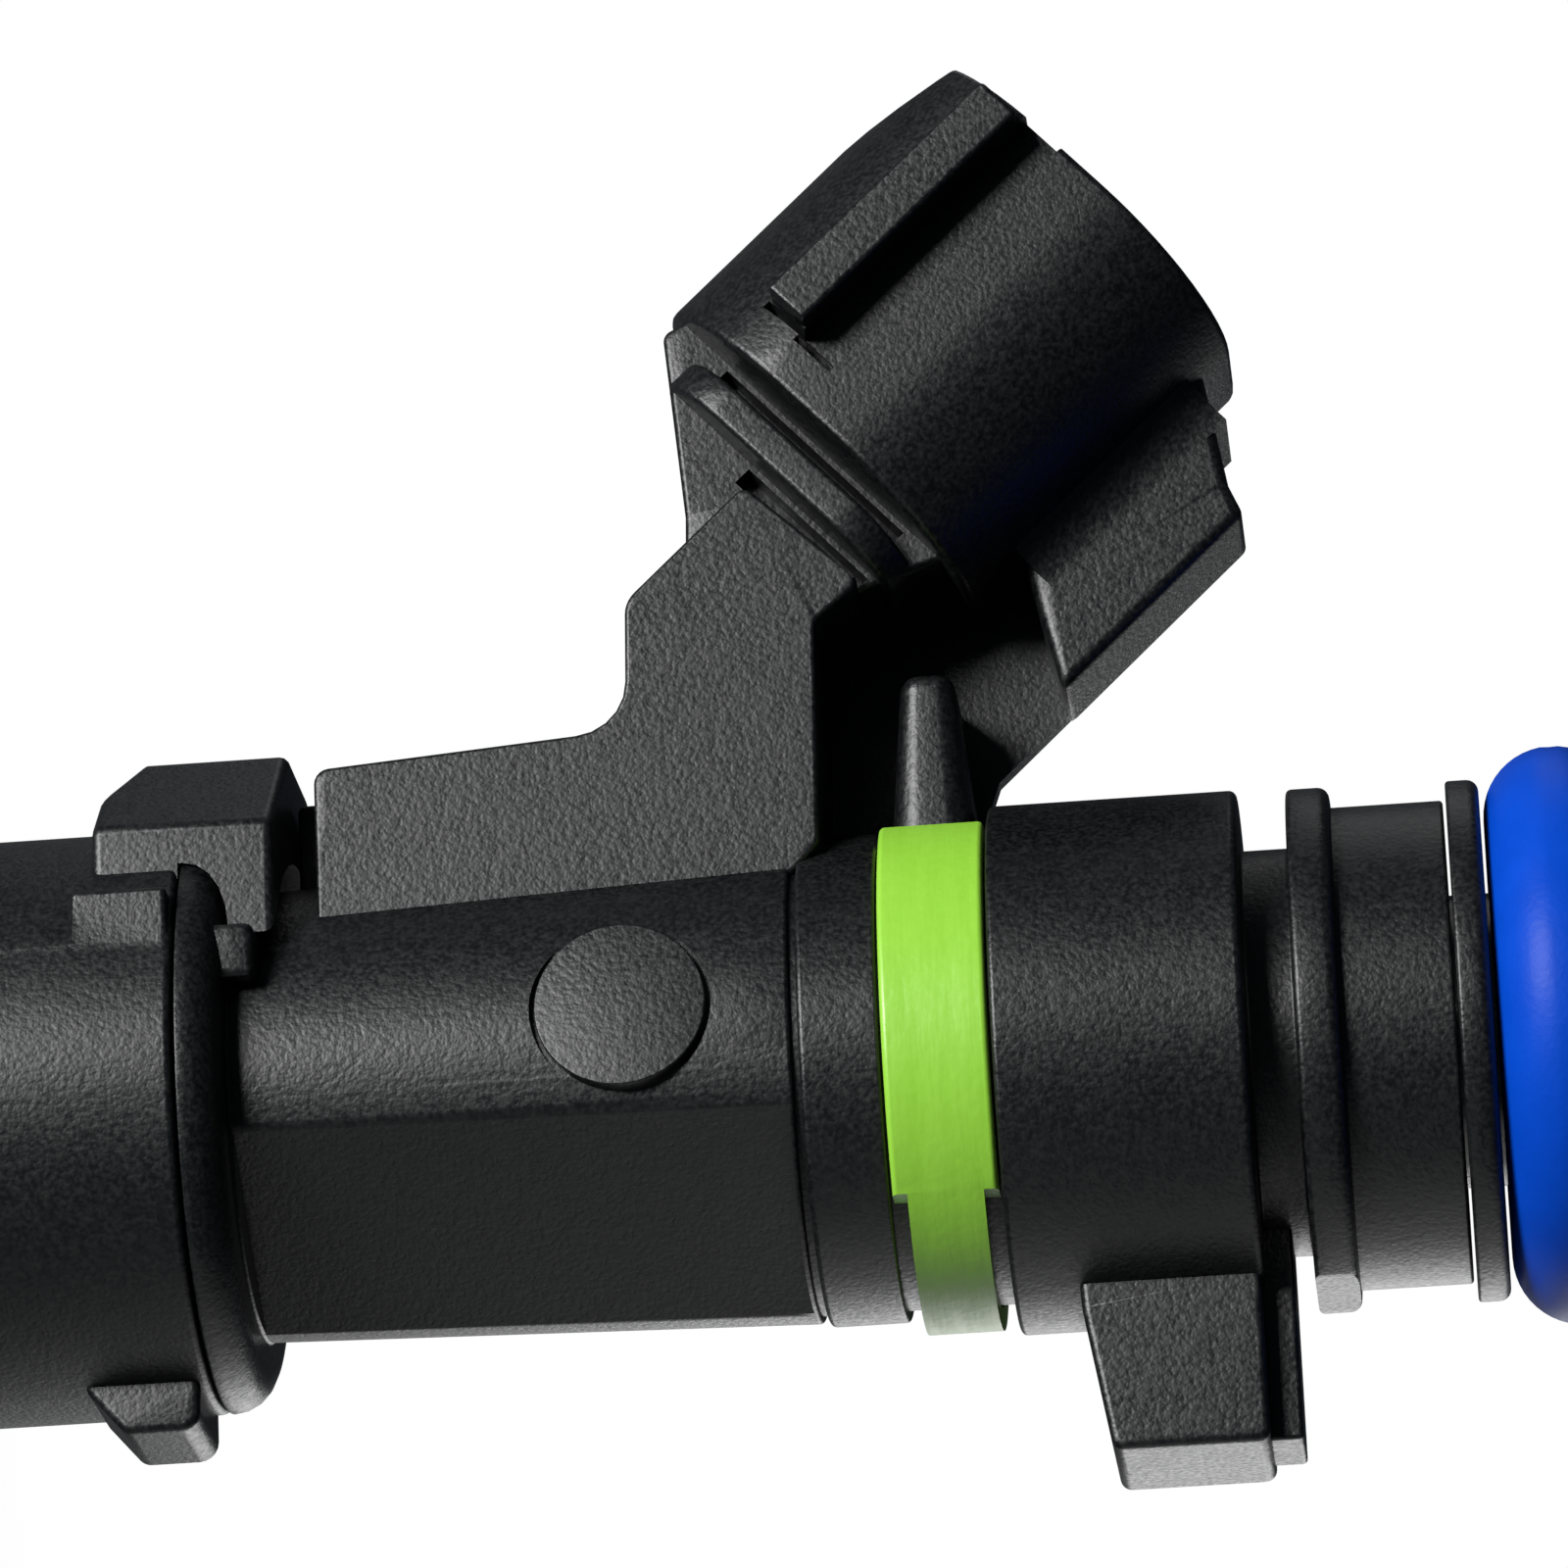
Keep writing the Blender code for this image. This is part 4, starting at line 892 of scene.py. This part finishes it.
def o_ring(name, height, node, material):
    """A torus with a faint parting line round its outside."""
    section = []
    for i in range(SECTION_STEPS):
        angle = -2 * math.pi * i / SECTION_STEPS
        radius = RING_SECTION - (0.0 if i else PARTING_STEP)
        section.append((RING_CENTRE + radius * math.cos(angle), height + radius * math.sin(angle)))
    finished(turned(name, section), node, material, sharp=60)


o_ring("inlet_seal", 0, "upper_o_ring", blue_rubber)
o_ring("nozzle_seal", -RING_SPAN, "lower_o_ring", brown_rubber)

# %% [markdown]
# A thin ring backs the upper O-ring. At the nozzle a pushed-on keeper with a sloping end holds the
# lower one on.

# %% The rings' supports
BACKING_RADIUS = 6.58
KEEPER_RADIUS = 6.2
KEEPER_TIP_RADIUS = 5.4
KEEPER_EDGE = 1.2
KEEPER_LENGTH = 2.0

inner = TUBE_RADIUS + FIT
top = -RING_SECTION - GAP
backing_profile = [
    (BACKING_RADIUS, top, 0.3),
    (BACKING_RADIUS, BODY_TOP + GAP, 0.1),
    (inner, BODY_TOP + GAP),
    (inner, top, 0.1),
]
backing = turned("seal_backing", backing_profile)
finished(backing, "o_ring_backing_ring", black_nylon)
top = -RING_SPAN - RING_SECTION - GAP
keeper_profile = [
    (KEEPER_RADIUS, top, 0.12),
    (KEEPER_RADIUS, top - KEEPER_EDGE, 0.15),
    (KEEPER_TIP_RADIUS, top - KEEPER_LENGTH, 0.15),
    (inner, top - KEEPER_LENGTH, 0.1),
    (inner, top, 0.1),
]
keeper = turned("tip_keeper", keeper_profile)
finished(keeper, "tip_retainer", black_nylon)

# %% [markdown]
# ## Push-on sleeve
# The sleeve slides over the coil and snaps over the body's shoulder with a hook on the shroud side.
# A plain lug stands opposite. The hook is a plate with sloping shoulders, cut on its lower end by a
# slanted block.

# %% The sleeve with its hook and lug
SLEEVE_TOP = SHOULDER_END - GAP
SLEEVE_RADIUS = 7.45
SLEEVE_STEP = -48.0
SKIRT_RADIUS = 6.5
SLEEVE_END = -58.8
HOOK_END = -32.0
HOOK_ROOT = -36.6
HOOK_REACH = 9.05
HOOK_HALF = 5.5
HOOK_TOP_HALF = 1.9
HOOK_SHOULDER = 6.25
HOOK_SLOPE = math.radians(30)
HOOK_SLOPE_START = -35.6
LUG_REACH = 8.47
LUG_HALF = 1.8

sleeve_profile = [
    (0, SLEEVE_TOP),
    (SLEEVE_RADIUS, SLEEVE_TOP, 0.2),
    (SLEEVE_RADIUS, SLEEVE_STEP, 0.2),
    (SKIRT_RADIUS, SLEEVE_STEP, 0.1),
    (SKIRT_RADIUS, SLEEVE_END, 0.3),
    (0, SLEEVE_END),
]
sleeve = turned("push_on_sleeve", sleeve_profile)
hook_corners = [
    (-HOOK_HALF, 3.0), (HOOK_HALF, 3.0), (HOOK_HALF, HOOK_SHOULDER, 0.4),
    (HOOK_TOP_HALF, HOOK_REACH, 0.8), (-HOOK_TOP_HALF, HOOK_REACH, 0.8),
    (-HOOK_HALF, HOOK_SHOULDER, 0.4),
]
upright = Matrix(((0, -1, 0, 0), (1, 0, 0, 0), (0, 0, 1, 0), (0, 0, 0, 1)))
hook = plate("hook", hook_corners, HOOK_ROOT, HOOK_END, upright, 0.25)
slope_start = Vector((-HOOK_REACH, 0, HOOK_SLOPE_START)) * MM
slope_frame = Matrix.Translation(slope_start) @ Matrix.Rotation(HOOK_SLOPE, 4, "Y")
cut(hook, block("hook_slope", (-6, -8, -3), (6, 8, 0), slope_frame, 0))
join(sleeve, baked(hook))
join(sleeve, block("ledge", (-4.2, -6.9, -36.95), (-2.0, 6.9, -34.55), None, 0.15))
lug_corners = [
    (-6.0, -37.6), (-7.3, -37.6), (-LUG_REACH, -36.6, 0.4), (-LUG_REACH, -34.7, 0.5), (-6.0, -34.7),
]
join(sleeve, plate("lug", lug_corners, -LUG_HALF, LUG_HALF, SIDE, 0.2))
print("parts joined to the sleeve:", len(sleeve.modifiers))

# %% [markdown]
# The sleeve is hollowed after its parts are joined, so that the hook gets the shape of the shoulder
# that it snaps over. Below it the hole fits the coil's pot, and then the nozzle.

# %% Hollowing the sleeve
SHOULDER_GAP = 0.12
NECK_OPENING = 6.4
POT_HOLE_END = -49.88

sleeve_hollow_profile = [
    (0, -30),
    (NECK_OPENING, -30),
    (NECK_OPENING, DOME_TOP + SHOULDER_GAP, 0.05),
    (SHOULDER_RADIUS + SHOULDER_GAP, DOME_TOP + SHOULDER_GAP, 1.0 + SHOULDER_GAP),
    (SHOULDER_RADIUS + SHOULDER_GAP, SLEEVE_TOP),
    (POT_RADIUS + FIT, SLEEVE_TOP),
    (POT_RADIUS + FIT, POT_HOLE_END),
    (inner, POT_HOLE_END),
    (inner, SLEEVE_END - 1),
    (0, SLEEVE_END - 1),
]
sleeve_hollow = turned("sleeve_hollow", sleeve_hollow_profile)
cut(sleeve, sleeve_hollow)
finished(sleeve, "nozzle_sleeve", sleeve_nylon)

# %% [markdown]
# ## Fuel tube and nozzle
# The fuel tube is drawn steel with a rolled lip that keeps the O-ring on. The nozzle is a turned
# tube at the other end, with the seat and the spray plate inside it.

# %% The two visible steel ends
LIP_TOP = 2.9
LIP_RADIUS = 5.2
TUBE_BORE = 2.75
TUBE_END = -26.2
NOZZLE_TOP = -49.96
NOZZLE_END = -65.88
NOZZLE_MOUTH = 2.2
SEAT_TOP = -59.72
SEAT_LOW = -65.06
SEAT_RADIUS = 3.07
GUIDE_TOP = -52.08
GUIDE_RADIUS = 2.3
VALVE_TUBE_HOLE = VALVE_TUBE_RADIUS + FIT

tube_profile = [
    (3.15, LIP_TOP, 0.05),
    (LIP_RADIUS, LIP_TOP, 0.45),
    (LIP_RADIUS, 2.0, 0.4),
    (TUBE_RADIUS, 1.92, 0.1),
    (TUBE_RADIUS, TUBE_END),
    (TUBE_BORE, TUBE_END),
    (TUBE_BORE, 2.5, 0.2),
]
tube = turned("inlet_tube", tube_profile)
finished(tube, "fuel_tube", steel)
nozzle_profile = [
    (TUBE_RADIUS, NOZZLE_TOP, 0.1),
    (TUBE_RADIUS, NOZZLE_END, 0.3),
    (NOZZLE_MOUTH, NOZZLE_END, 0.12),
    (NOZZLE_MOUTH, SEAT_LOW),
    (SEAT_RADIUS, SEAT_LOW),
    (SEAT_RADIUS, SEAT_TOP),
    (GUIDE_RADIUS, SEAT_TOP),
    (GUIDE_RADIUS, GUIDE_TOP),
    (VALVE_TUBE_HOLE, GUIDE_TOP),
    (VALVE_TUBE_HOLE, NOZZLE_TOP),
]
nozzle = turned("nozzle_tube", nozzle_profile)
finished(nozzle, "nozzle_body", steel)

# %% [markdown]
# ## Trees for wire
# Three pieces inside are wire: the closing spring, the coil's winding and the inlet's gauze. Each one
# follows a rule, so Geometry Nodes suit them: the rule lays out a curve, and a round section is swept
# along it. The sizes are named inputs, so that the same tree makes a longer spring or a finer gauze.


# %% Helpers for Geometry Nodes
def sized_tree(name, sizes):
    """An empty tree, and a wire for each of its named sizes."""
    tree = bpy.data.node_groups.new(name, "GeometryNodeTree")
    tree.interface.new_socket("Geometry", in_out="OUTPUT", socket_type="NodeSocketGeometry")
    for size, value in sizes.items():
        kind = "NodeSocketInt" if isinstance(value, int) else "NodeSocketFloat"
        tree.interface.new_socket(size, in_out="INPUT", socket_type=kind)
    entry = tree.nodes.new("NodeGroupInput")
    return Wire(tree), {size: Wire(tree, entry.outputs[size]) for size in sizes}


def helix(start, turns, radius, height, resolution, reverse=False):
    """A spiral of one radius, as a curve."""
    sockets = {"Start Radius": radius, "End Radius": radius, "Height": height, "Reverse": reverse}
    sockets.update({"Rotations": turns, "Resolution": resolution})
    return start.node("GeometryNodeCurveSpiral", None, sockets)


def swept(start, curve, radius, sides):
    """A round wire along a curve."""
    section = start.node("GeometryNodeCurvePrimitiveCircle", None, {"Resolution": sides, "Radius": radius})
    sockets = {"Curve": curve, "Profile Curve": section, "Fill Caps": True}
    return start.node("GeometryNodeCurveToMesh", None, sockets)


def gathered(start, shapes):
    """Several shapes as one."""
    together = start.node("GeometryNodeJoinGeometry")
    for shape in shapes:
        start.tree.links.new(shape.socket, together.socket.node.inputs[0])
    return together


def grown(name, start, shape, height, sizes, material):
    """Ends the tree, lifts the shape to its height and turns the result into a plain mesh."""
    lifted = start.node("GeometryNodeTransform", None, {0: shape, "Translation": (0, 0, height * MM)})
    real = start.node("GeometryNodeRealizeInstances", None, {0: lifted})
    dressed = start.node("GeometryNodeSetMaterial", None, {0: real, "Material": material})
    exit_node = start.tree.nodes.new("NodeGroupOutput")
    start.tree.links.new(dressed.socket, exit_node.inputs[0])
    obj = bpy.data.objects.new(name, bpy.data.meshes.new(name))
    bpy.context.scene.collection.objects.link(obj)
    modifier = obj.modifiers.new(name, "NODES")
    modifier.node_group = start.tree
    for item in start.tree.interface.items_tree:
        if item.in_out == "INPUT":
            modifier[item.identifier] = sizes[item.name]
    baked(obj)
    print(f"{name}: tree of {len(start.tree.nodes)} nodes, {len(obj.data.vertices)} points")
    return obj


print("node trees before the wire pieces:", len(bpy.data.node_groups))

# %% [markdown]
# ## Closing spring
# The spring pushes the needle shut. A spring maker winds the last turn at each end flat, so that it
# stands square. A plain spiral has one pitch all the way, so its points are moved: three Map Range nodes
# give the slow rise of each end and the quick rise between them.

# %% The closing spring
SPRING_WIRE = 0.13
FLAT_PITCH = 2.06
spring_top = -34.75
spring_end = -43.0
spring_sizes = {
    "Turns": 10.0,
    "Coil Radius": 0.9 * MM,
    "Wire Radius": SPRING_WIRE * MM,
    "Height": (spring_top - spring_end) * MM,
    "Flat Share": 0.12,
}
start, size = sized_tree("closing_spring", spring_sizes)
spiral = helix(start, size["Turns"], size["Coil Radius"], size["Height"], 32)
along_wire = start.node("GeometryNodeSplineParameter")
flat_rise = size["Flat Share"] * size["Turns"] * size["Wire Radius"] * FLAT_PITCH
flat_end = 1 - size["Flat Share"]
open_rise = size["Height"] - 2 * flat_rise

first_turn = along_wire.ranged(0.0, size["Flat Share"], 0.0, flat_rise)
open_turns = along_wire.ranged(size["Flat Share"], flat_end, 0.0, open_rise)
last_turn = along_wire.ranged(flat_end, 1.0, 0.0, flat_rise)
flat_spot = start.node("GeometryNodeInputPosition").vector("MULTIPLY", (1, 1, 0))
moved = flat_spot.vector("ADD", (first_turn + open_turns + last_turn).upward())
wound = start.node("GeometryNodeSetPosition", None, {"Geometry": spiral, "Position": moved})
wire = swept(start, wound, size["Wire Radius"], 12)
spring = grown("closing_spring", start, wire, spring_end, spring_sizes, steel)
finished(spring, "return_spring", steel)
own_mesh(spring)

# %% [markdown]
# ## Coil winding
# The coil is one long enamelled wire, wound up and down the bobbin. Every layer is a spiral, and each
# second one turns the other way, as the wire runs back. Python adds one spiral for each layer, and the
# radius of a layer follows from the wire.

# %% The wound coil
LAYERS = 4
WIRE_SHARE = 0.97
coil_low = -45.54
coil_high = -35.36
coil_sizes = {"Turns": 27.0, "Core Radius": 3.07 * MM, "Wire Radius": 0.185 * MM, "Height": 9.8 * MM}
start, size = sized_tree("coil_winding", coil_sizes)
layers = []
for layer in range(LAYERS):
    radius = size["Core Radius"] + size["Wire Radius"] * (2 * layer + 1)
    layers.append(helix(start, size["Turns"], radius, size["Height"], 36, bool(layer % 2)))
wires = swept(start, gathered(start, layers), size["Wire Radius"] * WIRE_SHARE, 7)
coil_start = (coil_low + coil_high) / 2 - coil_sizes["Height"] / MM / 2
coil = grown("wound_coil", start, wires, coil_start, coil_sizes, copper)
finished(coil, "coil_winding", copper)

# %% [markdown]
# ## Filter gauze
# A woven gauze keeps dirt out of the valve. Rings and uprights pass over and under each other: both
# families are laid on one cylinder, and a cosine wave that changes sign at every crossing pushes one
# family out where it pulls the other in.

# %% The woven gauze
GAUZE_FOOT = -10.5
gauze_sizes = {
    "Rings": 44,
    "Uprights": 36,
    "Radius": 1.615 * MM,
    "Pitch": 0.24 * MM,
    "Wire Radius": 0.045 * MM,
    "Wave": 0.045 * MM,
}
start, size = sized_tree("filter_gauze", gauze_sizes)
levels = start.node("GeometryNodeMeshLine", None, {"Count": size["Rings"], "Offset": size["Pitch"].upward()})
circle = start.node(
    "GeometryNodeCurvePrimitiveCircle", None, {"Resolution": size["Uprights"] * 2, "Radius": size["Radius"]}
)
rings = start.node("GeometryNodeInstanceOnPoints", None, {"Points": levels, "Instance": circle})
half_step = (size["Pitch"] * 0.5).upward()
foot = start.node("ShaderNodeCombineXYZ", None, {0: size["Radius"]})
stem_sockets = {"Count": size["Rings"] * 2 - 1, "Start Location": foot, "Offset": half_step}
stem = start.node("GeometryNodeMeshLine", None, stem_sockets)
stem_curve = start.node("GeometryNodeMeshToCurve", None, {"Mesh": stem})
spots = start.node("GeometryNodeMeshLine", None, {"Count": size["Uprights"], "Offset": (0, 0, 0)})
share = start.node("GeometryNodeInputIndex") / size["Uprights"]
turn = (share * (2 * math.pi)).upward()
uprights = start.node(
    "GeometryNodeInstanceOnPoints", None, {"Points": spots, "Instance": stem_curve, "Rotation": turn}
)


def waved(family, direction):
    """One family of wires, moved in and out by the wave."""
    spot = start.node("GeometryNodeInputPosition")
    outwards = spot.vector("MULTIPLY", (1, 1, 0)).vector("NORMALIZE")
    parts = start.node("ShaderNodeSeparateXYZ", None, {0: spot}).socket.node.outputs
    x, y, z = (Wire(start.tree, part) for part in parts)
    around = start.math("ARCTAN2", y, x)
    phase = z / size["Pitch"] * math.pi + around * size["Uprights"] * 0.5
    wave = start.node("ShaderNodeMath", {"operation": "COSINE"}, {0: phase}) * size["Wave"] * direction
    push = start.node("ShaderNodeVectorMath", {"operation": "SCALE"}, {0: outwards, "Scale": wave})
    real = start.node("GeometryNodeRealizeInstances", None, {0: family})
    return start.node("GeometryNodeSetPosition", None, {"Geometry": real, "Offset": push})


woven = gathered(start, [waved(rings, 1), waved(uprights, -1)])
mesh_wires = swept(start, woven, size["Wire Radius"], 5)
gauze = grown("filter_gauze", start, mesh_wires, GAUZE_FOOT, gauze_sizes, steel)
finished(gauze, "filter_screen", steel)

# %% [markdown]
# ## Pieces kept from the CAD
# The small inner pieces already have their true shape in the frame, so their meshes stay and only
# take a finish.

# %% Finishes on the carried-over nodes
kept = {
    "adjusting_tube": steel,
    "armature": iron,
    "coil_bobbin": pale_nylon,
    "filter_frame": pale_nylon,
    "filter_rim": brass,
    "flux_cup": iron,
    "flux_washer": iron,
    "needle_tube": steel,
    "pole_core": iron,
    "spray_plate": steel,
    "valve_ball": steel,
    "valve_seat": steel,
    "valve_tube": steel,
}
for node, material in kept.items():
    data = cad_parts[node].data
    data.materials.clear()
    data.materials.append(material)
print(len(kept), "nodes keep their CAD mesh")

# %% [markdown]
# ## Camera
# The photograph looks at the injector's side, a little from the tab's side and a little from the
# inlet, with the axis lying across the picture. The long lens keeps the perspective flat. The
# numbers below come from the photograph: where the upper O-ring's centre falls and how large a
# millimetre is there.

# %% The photograph's camera
PICTURE = 1600
FOCAL_PIXELS = 9855
CAMERA_DISTANCE = 0.2433
CAMERA_AZIMUTH = math.radians(18)
CAMERA_ELEVATION = math.radians(4)
CAMERA_ROLL = math.radians(3.8)
ORIGIN_PIXEL = (1600, 1056)
SENSOR = 36

a, e = CAMERA_AZIMUTH, CAMERA_ELEVATION
back = Vector((math.sin(a) * math.cos(e), -math.cos(a) * math.cos(e), math.sin(e)))
along = Vector((0, 0, 1))
along = (along - back * along.dot(back)).normalized()
above = back.cross(along)
right = along * math.cos(CAMERA_ROLL) - above * math.sin(CAMERA_ROLL)
up = along * math.sin(CAMERA_ROLL) + above * math.cos(CAMERA_ROLL)
pixel = CAMERA_DISTANCE / FOCAL_PIXELS
centre_right = (PICTURE / 2 - ORIGIN_PIXEL[0]) * pixel
centre_up = (ORIGIN_PIXEL[1] - PICTURE / 2) * pixel
looked_at = right * centre_right + up * centre_up

lens = bpy.data.cameras.new("photo_camera")
lens.sensor_width = SENSOR
lens.lens = FOCAL_PIXELS / PICTURE * SENSOR
lens.clip_start = 0.005
lens.clip_end = 20
camera = bpy.data.objects.new("photo_camera", lens)
bpy.context.scene.collection.objects.link(camera)
placed = Matrix((right, up, back)).transposed().to_4x4()
placed.translation = looked_at + back * CAMERA_DISTANCE
camera.matrix_world = placed
bpy.context.scene.camera = camera
print("lens", round(lens.lens), "mm")

# %% [markdown]
# ## Light, floor and background
# One soft light above and left of the lens makes the long highlight on the barrel. A weaker one
# behind stands for the light that a white table throws back, and a third keeps the far side readable.

# %% Soft lights
LIGHT_DISTANCE = 0.5


def soft_light(name, rightwards, upwards, forwards, width, height, watts):
    """An area light in the picture's own directions, aimed at the middle of the view."""
    lamp = bpy.data.lights.new(name, "AREA")
    lamp.shape = "ELLIPSE"
    lamp.size = height
    lamp.size_y = width
    lamp.energy = watts
    obj = bpy.data.objects.new(name, lamp)
    towards = (right * rightwards + up * upwards + back * forwards).normalized()
    obj.matrix_world = towards.to_track_quat("Z", "Y").to_matrix().to_4x4()
    obj.matrix_world.translation = looked_at + towards * LIGHT_DISTANCE
    bpy.context.scene.collection.objects.link(obj)


soft_light("key", -0.78, 0.53, 0.75, 0.28, 0.15, 4.7)
soft_light("table_bounce", 0.1, -0.62, -0.78, 0.4, 0.4, 0.9)
soft_light("side_fill", -0.1, 0.8, -0.55, 0.4, 0.4, 0.22)
print("soft lights:", len(bpy.data.lights))

# %% [markdown]
# The floor lies under the nozzle's tip. Near the object it is a matt surface that takes a shadow. Far
# from it the camera sees it fade to plain white, so the horizon doesn't show. Mirror rays see that
# white on the side where the table lies. The floor doesn't stop light, because the key stands low.

# %% Floor
FLOOR_HALF = 900
FLOOR_NEAR = 0.05
FLOOR_FAR = 0.17
floor = block("floor", (-FLOOR_HALF, -FLOOR_HALF, -2), (FLOOR_HALF, FLOOR_HALF, 0), None, 0)
floor.data.transform(Matrix.Translation((0, 0, cad_box[0][2])))
floor_material, start, place, shader = finish_tree("pale_floor")
tone = noise(start, place, 60, 3.0)
connect(shader, base_color=blend(start, tone, (0.80, 0.80, 0.80), (0.86, 0.86, 0.86)))
shader.inputs["Roughness"].default_value = 0.8


def seen_by(start):
    """Two wires: 1 for the camera's rays, and 1 for mirror rays and rays through glass."""
    path = start.tree.nodes.new("ShaderNodeLightPath").outputs
    names = ("Is Camera Ray", "Is Glossy Ray", "Is Transmission Ray")
    camera_rays, mirror_rays, glass_rays = (Wire(start.tree, path[name]) for name in names)
    return camera_rays, mirror_rays + glass_rays


away = place.vector("MULTIPLY", (1, 1, 0)).vector("LENGTH", out=1)
far = away.ranged(FLOOR_NEAR, FLOOR_FAR, 0.7, 1.0)
table = place.vector("DOT_PRODUCT", -up, out=1).ranged(0.10, 0.50)
camera_ray, mirror_ray = seen_by(start)
white = start.node("ShaderNodeEmission", None, {"Color": (1, 1, 1, 1), "Strength": 1.0})
lit = Wire(start.tree, shader.outputs[0])
mixed = start.node("ShaderNodeMixShader", None, {0: camera_ray * far + mirror_ray * table, 1: lit, 2: white})
start.tree.links.new(mixed.socket, start.tree.nodes["Material Output"].inputs[0])
floor.data.materials.append(floor_material)
floor.visible_shadow = False
print("floor at", round(cad_box[0][2] / MM, 2), "mm")

# %% [markdown]
# The world is white to the camera. Mirror rays see that white only on the side where the table lies,
# behind and below the picture, because a white sky all round would turn the black plastic grey.

# %% World
DIM = (0.75, 0.92, 1.15)
DIM_STRENGTH = 0.03
world = bpy.data.worlds.new("studio")
world.use_nodes = True
bpy.context.scene.world = world
start = Wire(world.node_tree)
table_side = (-0.92 * up - 0.35 * back).normalized()
direction = start.node("ShaderNodeTexCoord", out=0)
table = direction.vector("DOT_PRODUCT", table_side, out=1).ranged(0.55, 1.0)
camera_ray, mirror_ray = seen_by(start)
dim = start.node("ShaderNodeBackground", None, {"Color": (*DIM, 1), "Strength": DIM_STRENGTH})
white = start.node("ShaderNodeBackground", None, {"Color": (1, 1, 1, 1), "Strength": 1.0})
mixed = start.node("ShaderNodeMixShader", None, {0: camera_ray + mirror_ray * table, 1: dim, 2: white})
world.node_tree.links.new(mixed.socket, world.node_tree.nodes["World Output"].inputs[0])
bpy.context.scene.view_settings.view_transform = "Standard"
print("stage set")
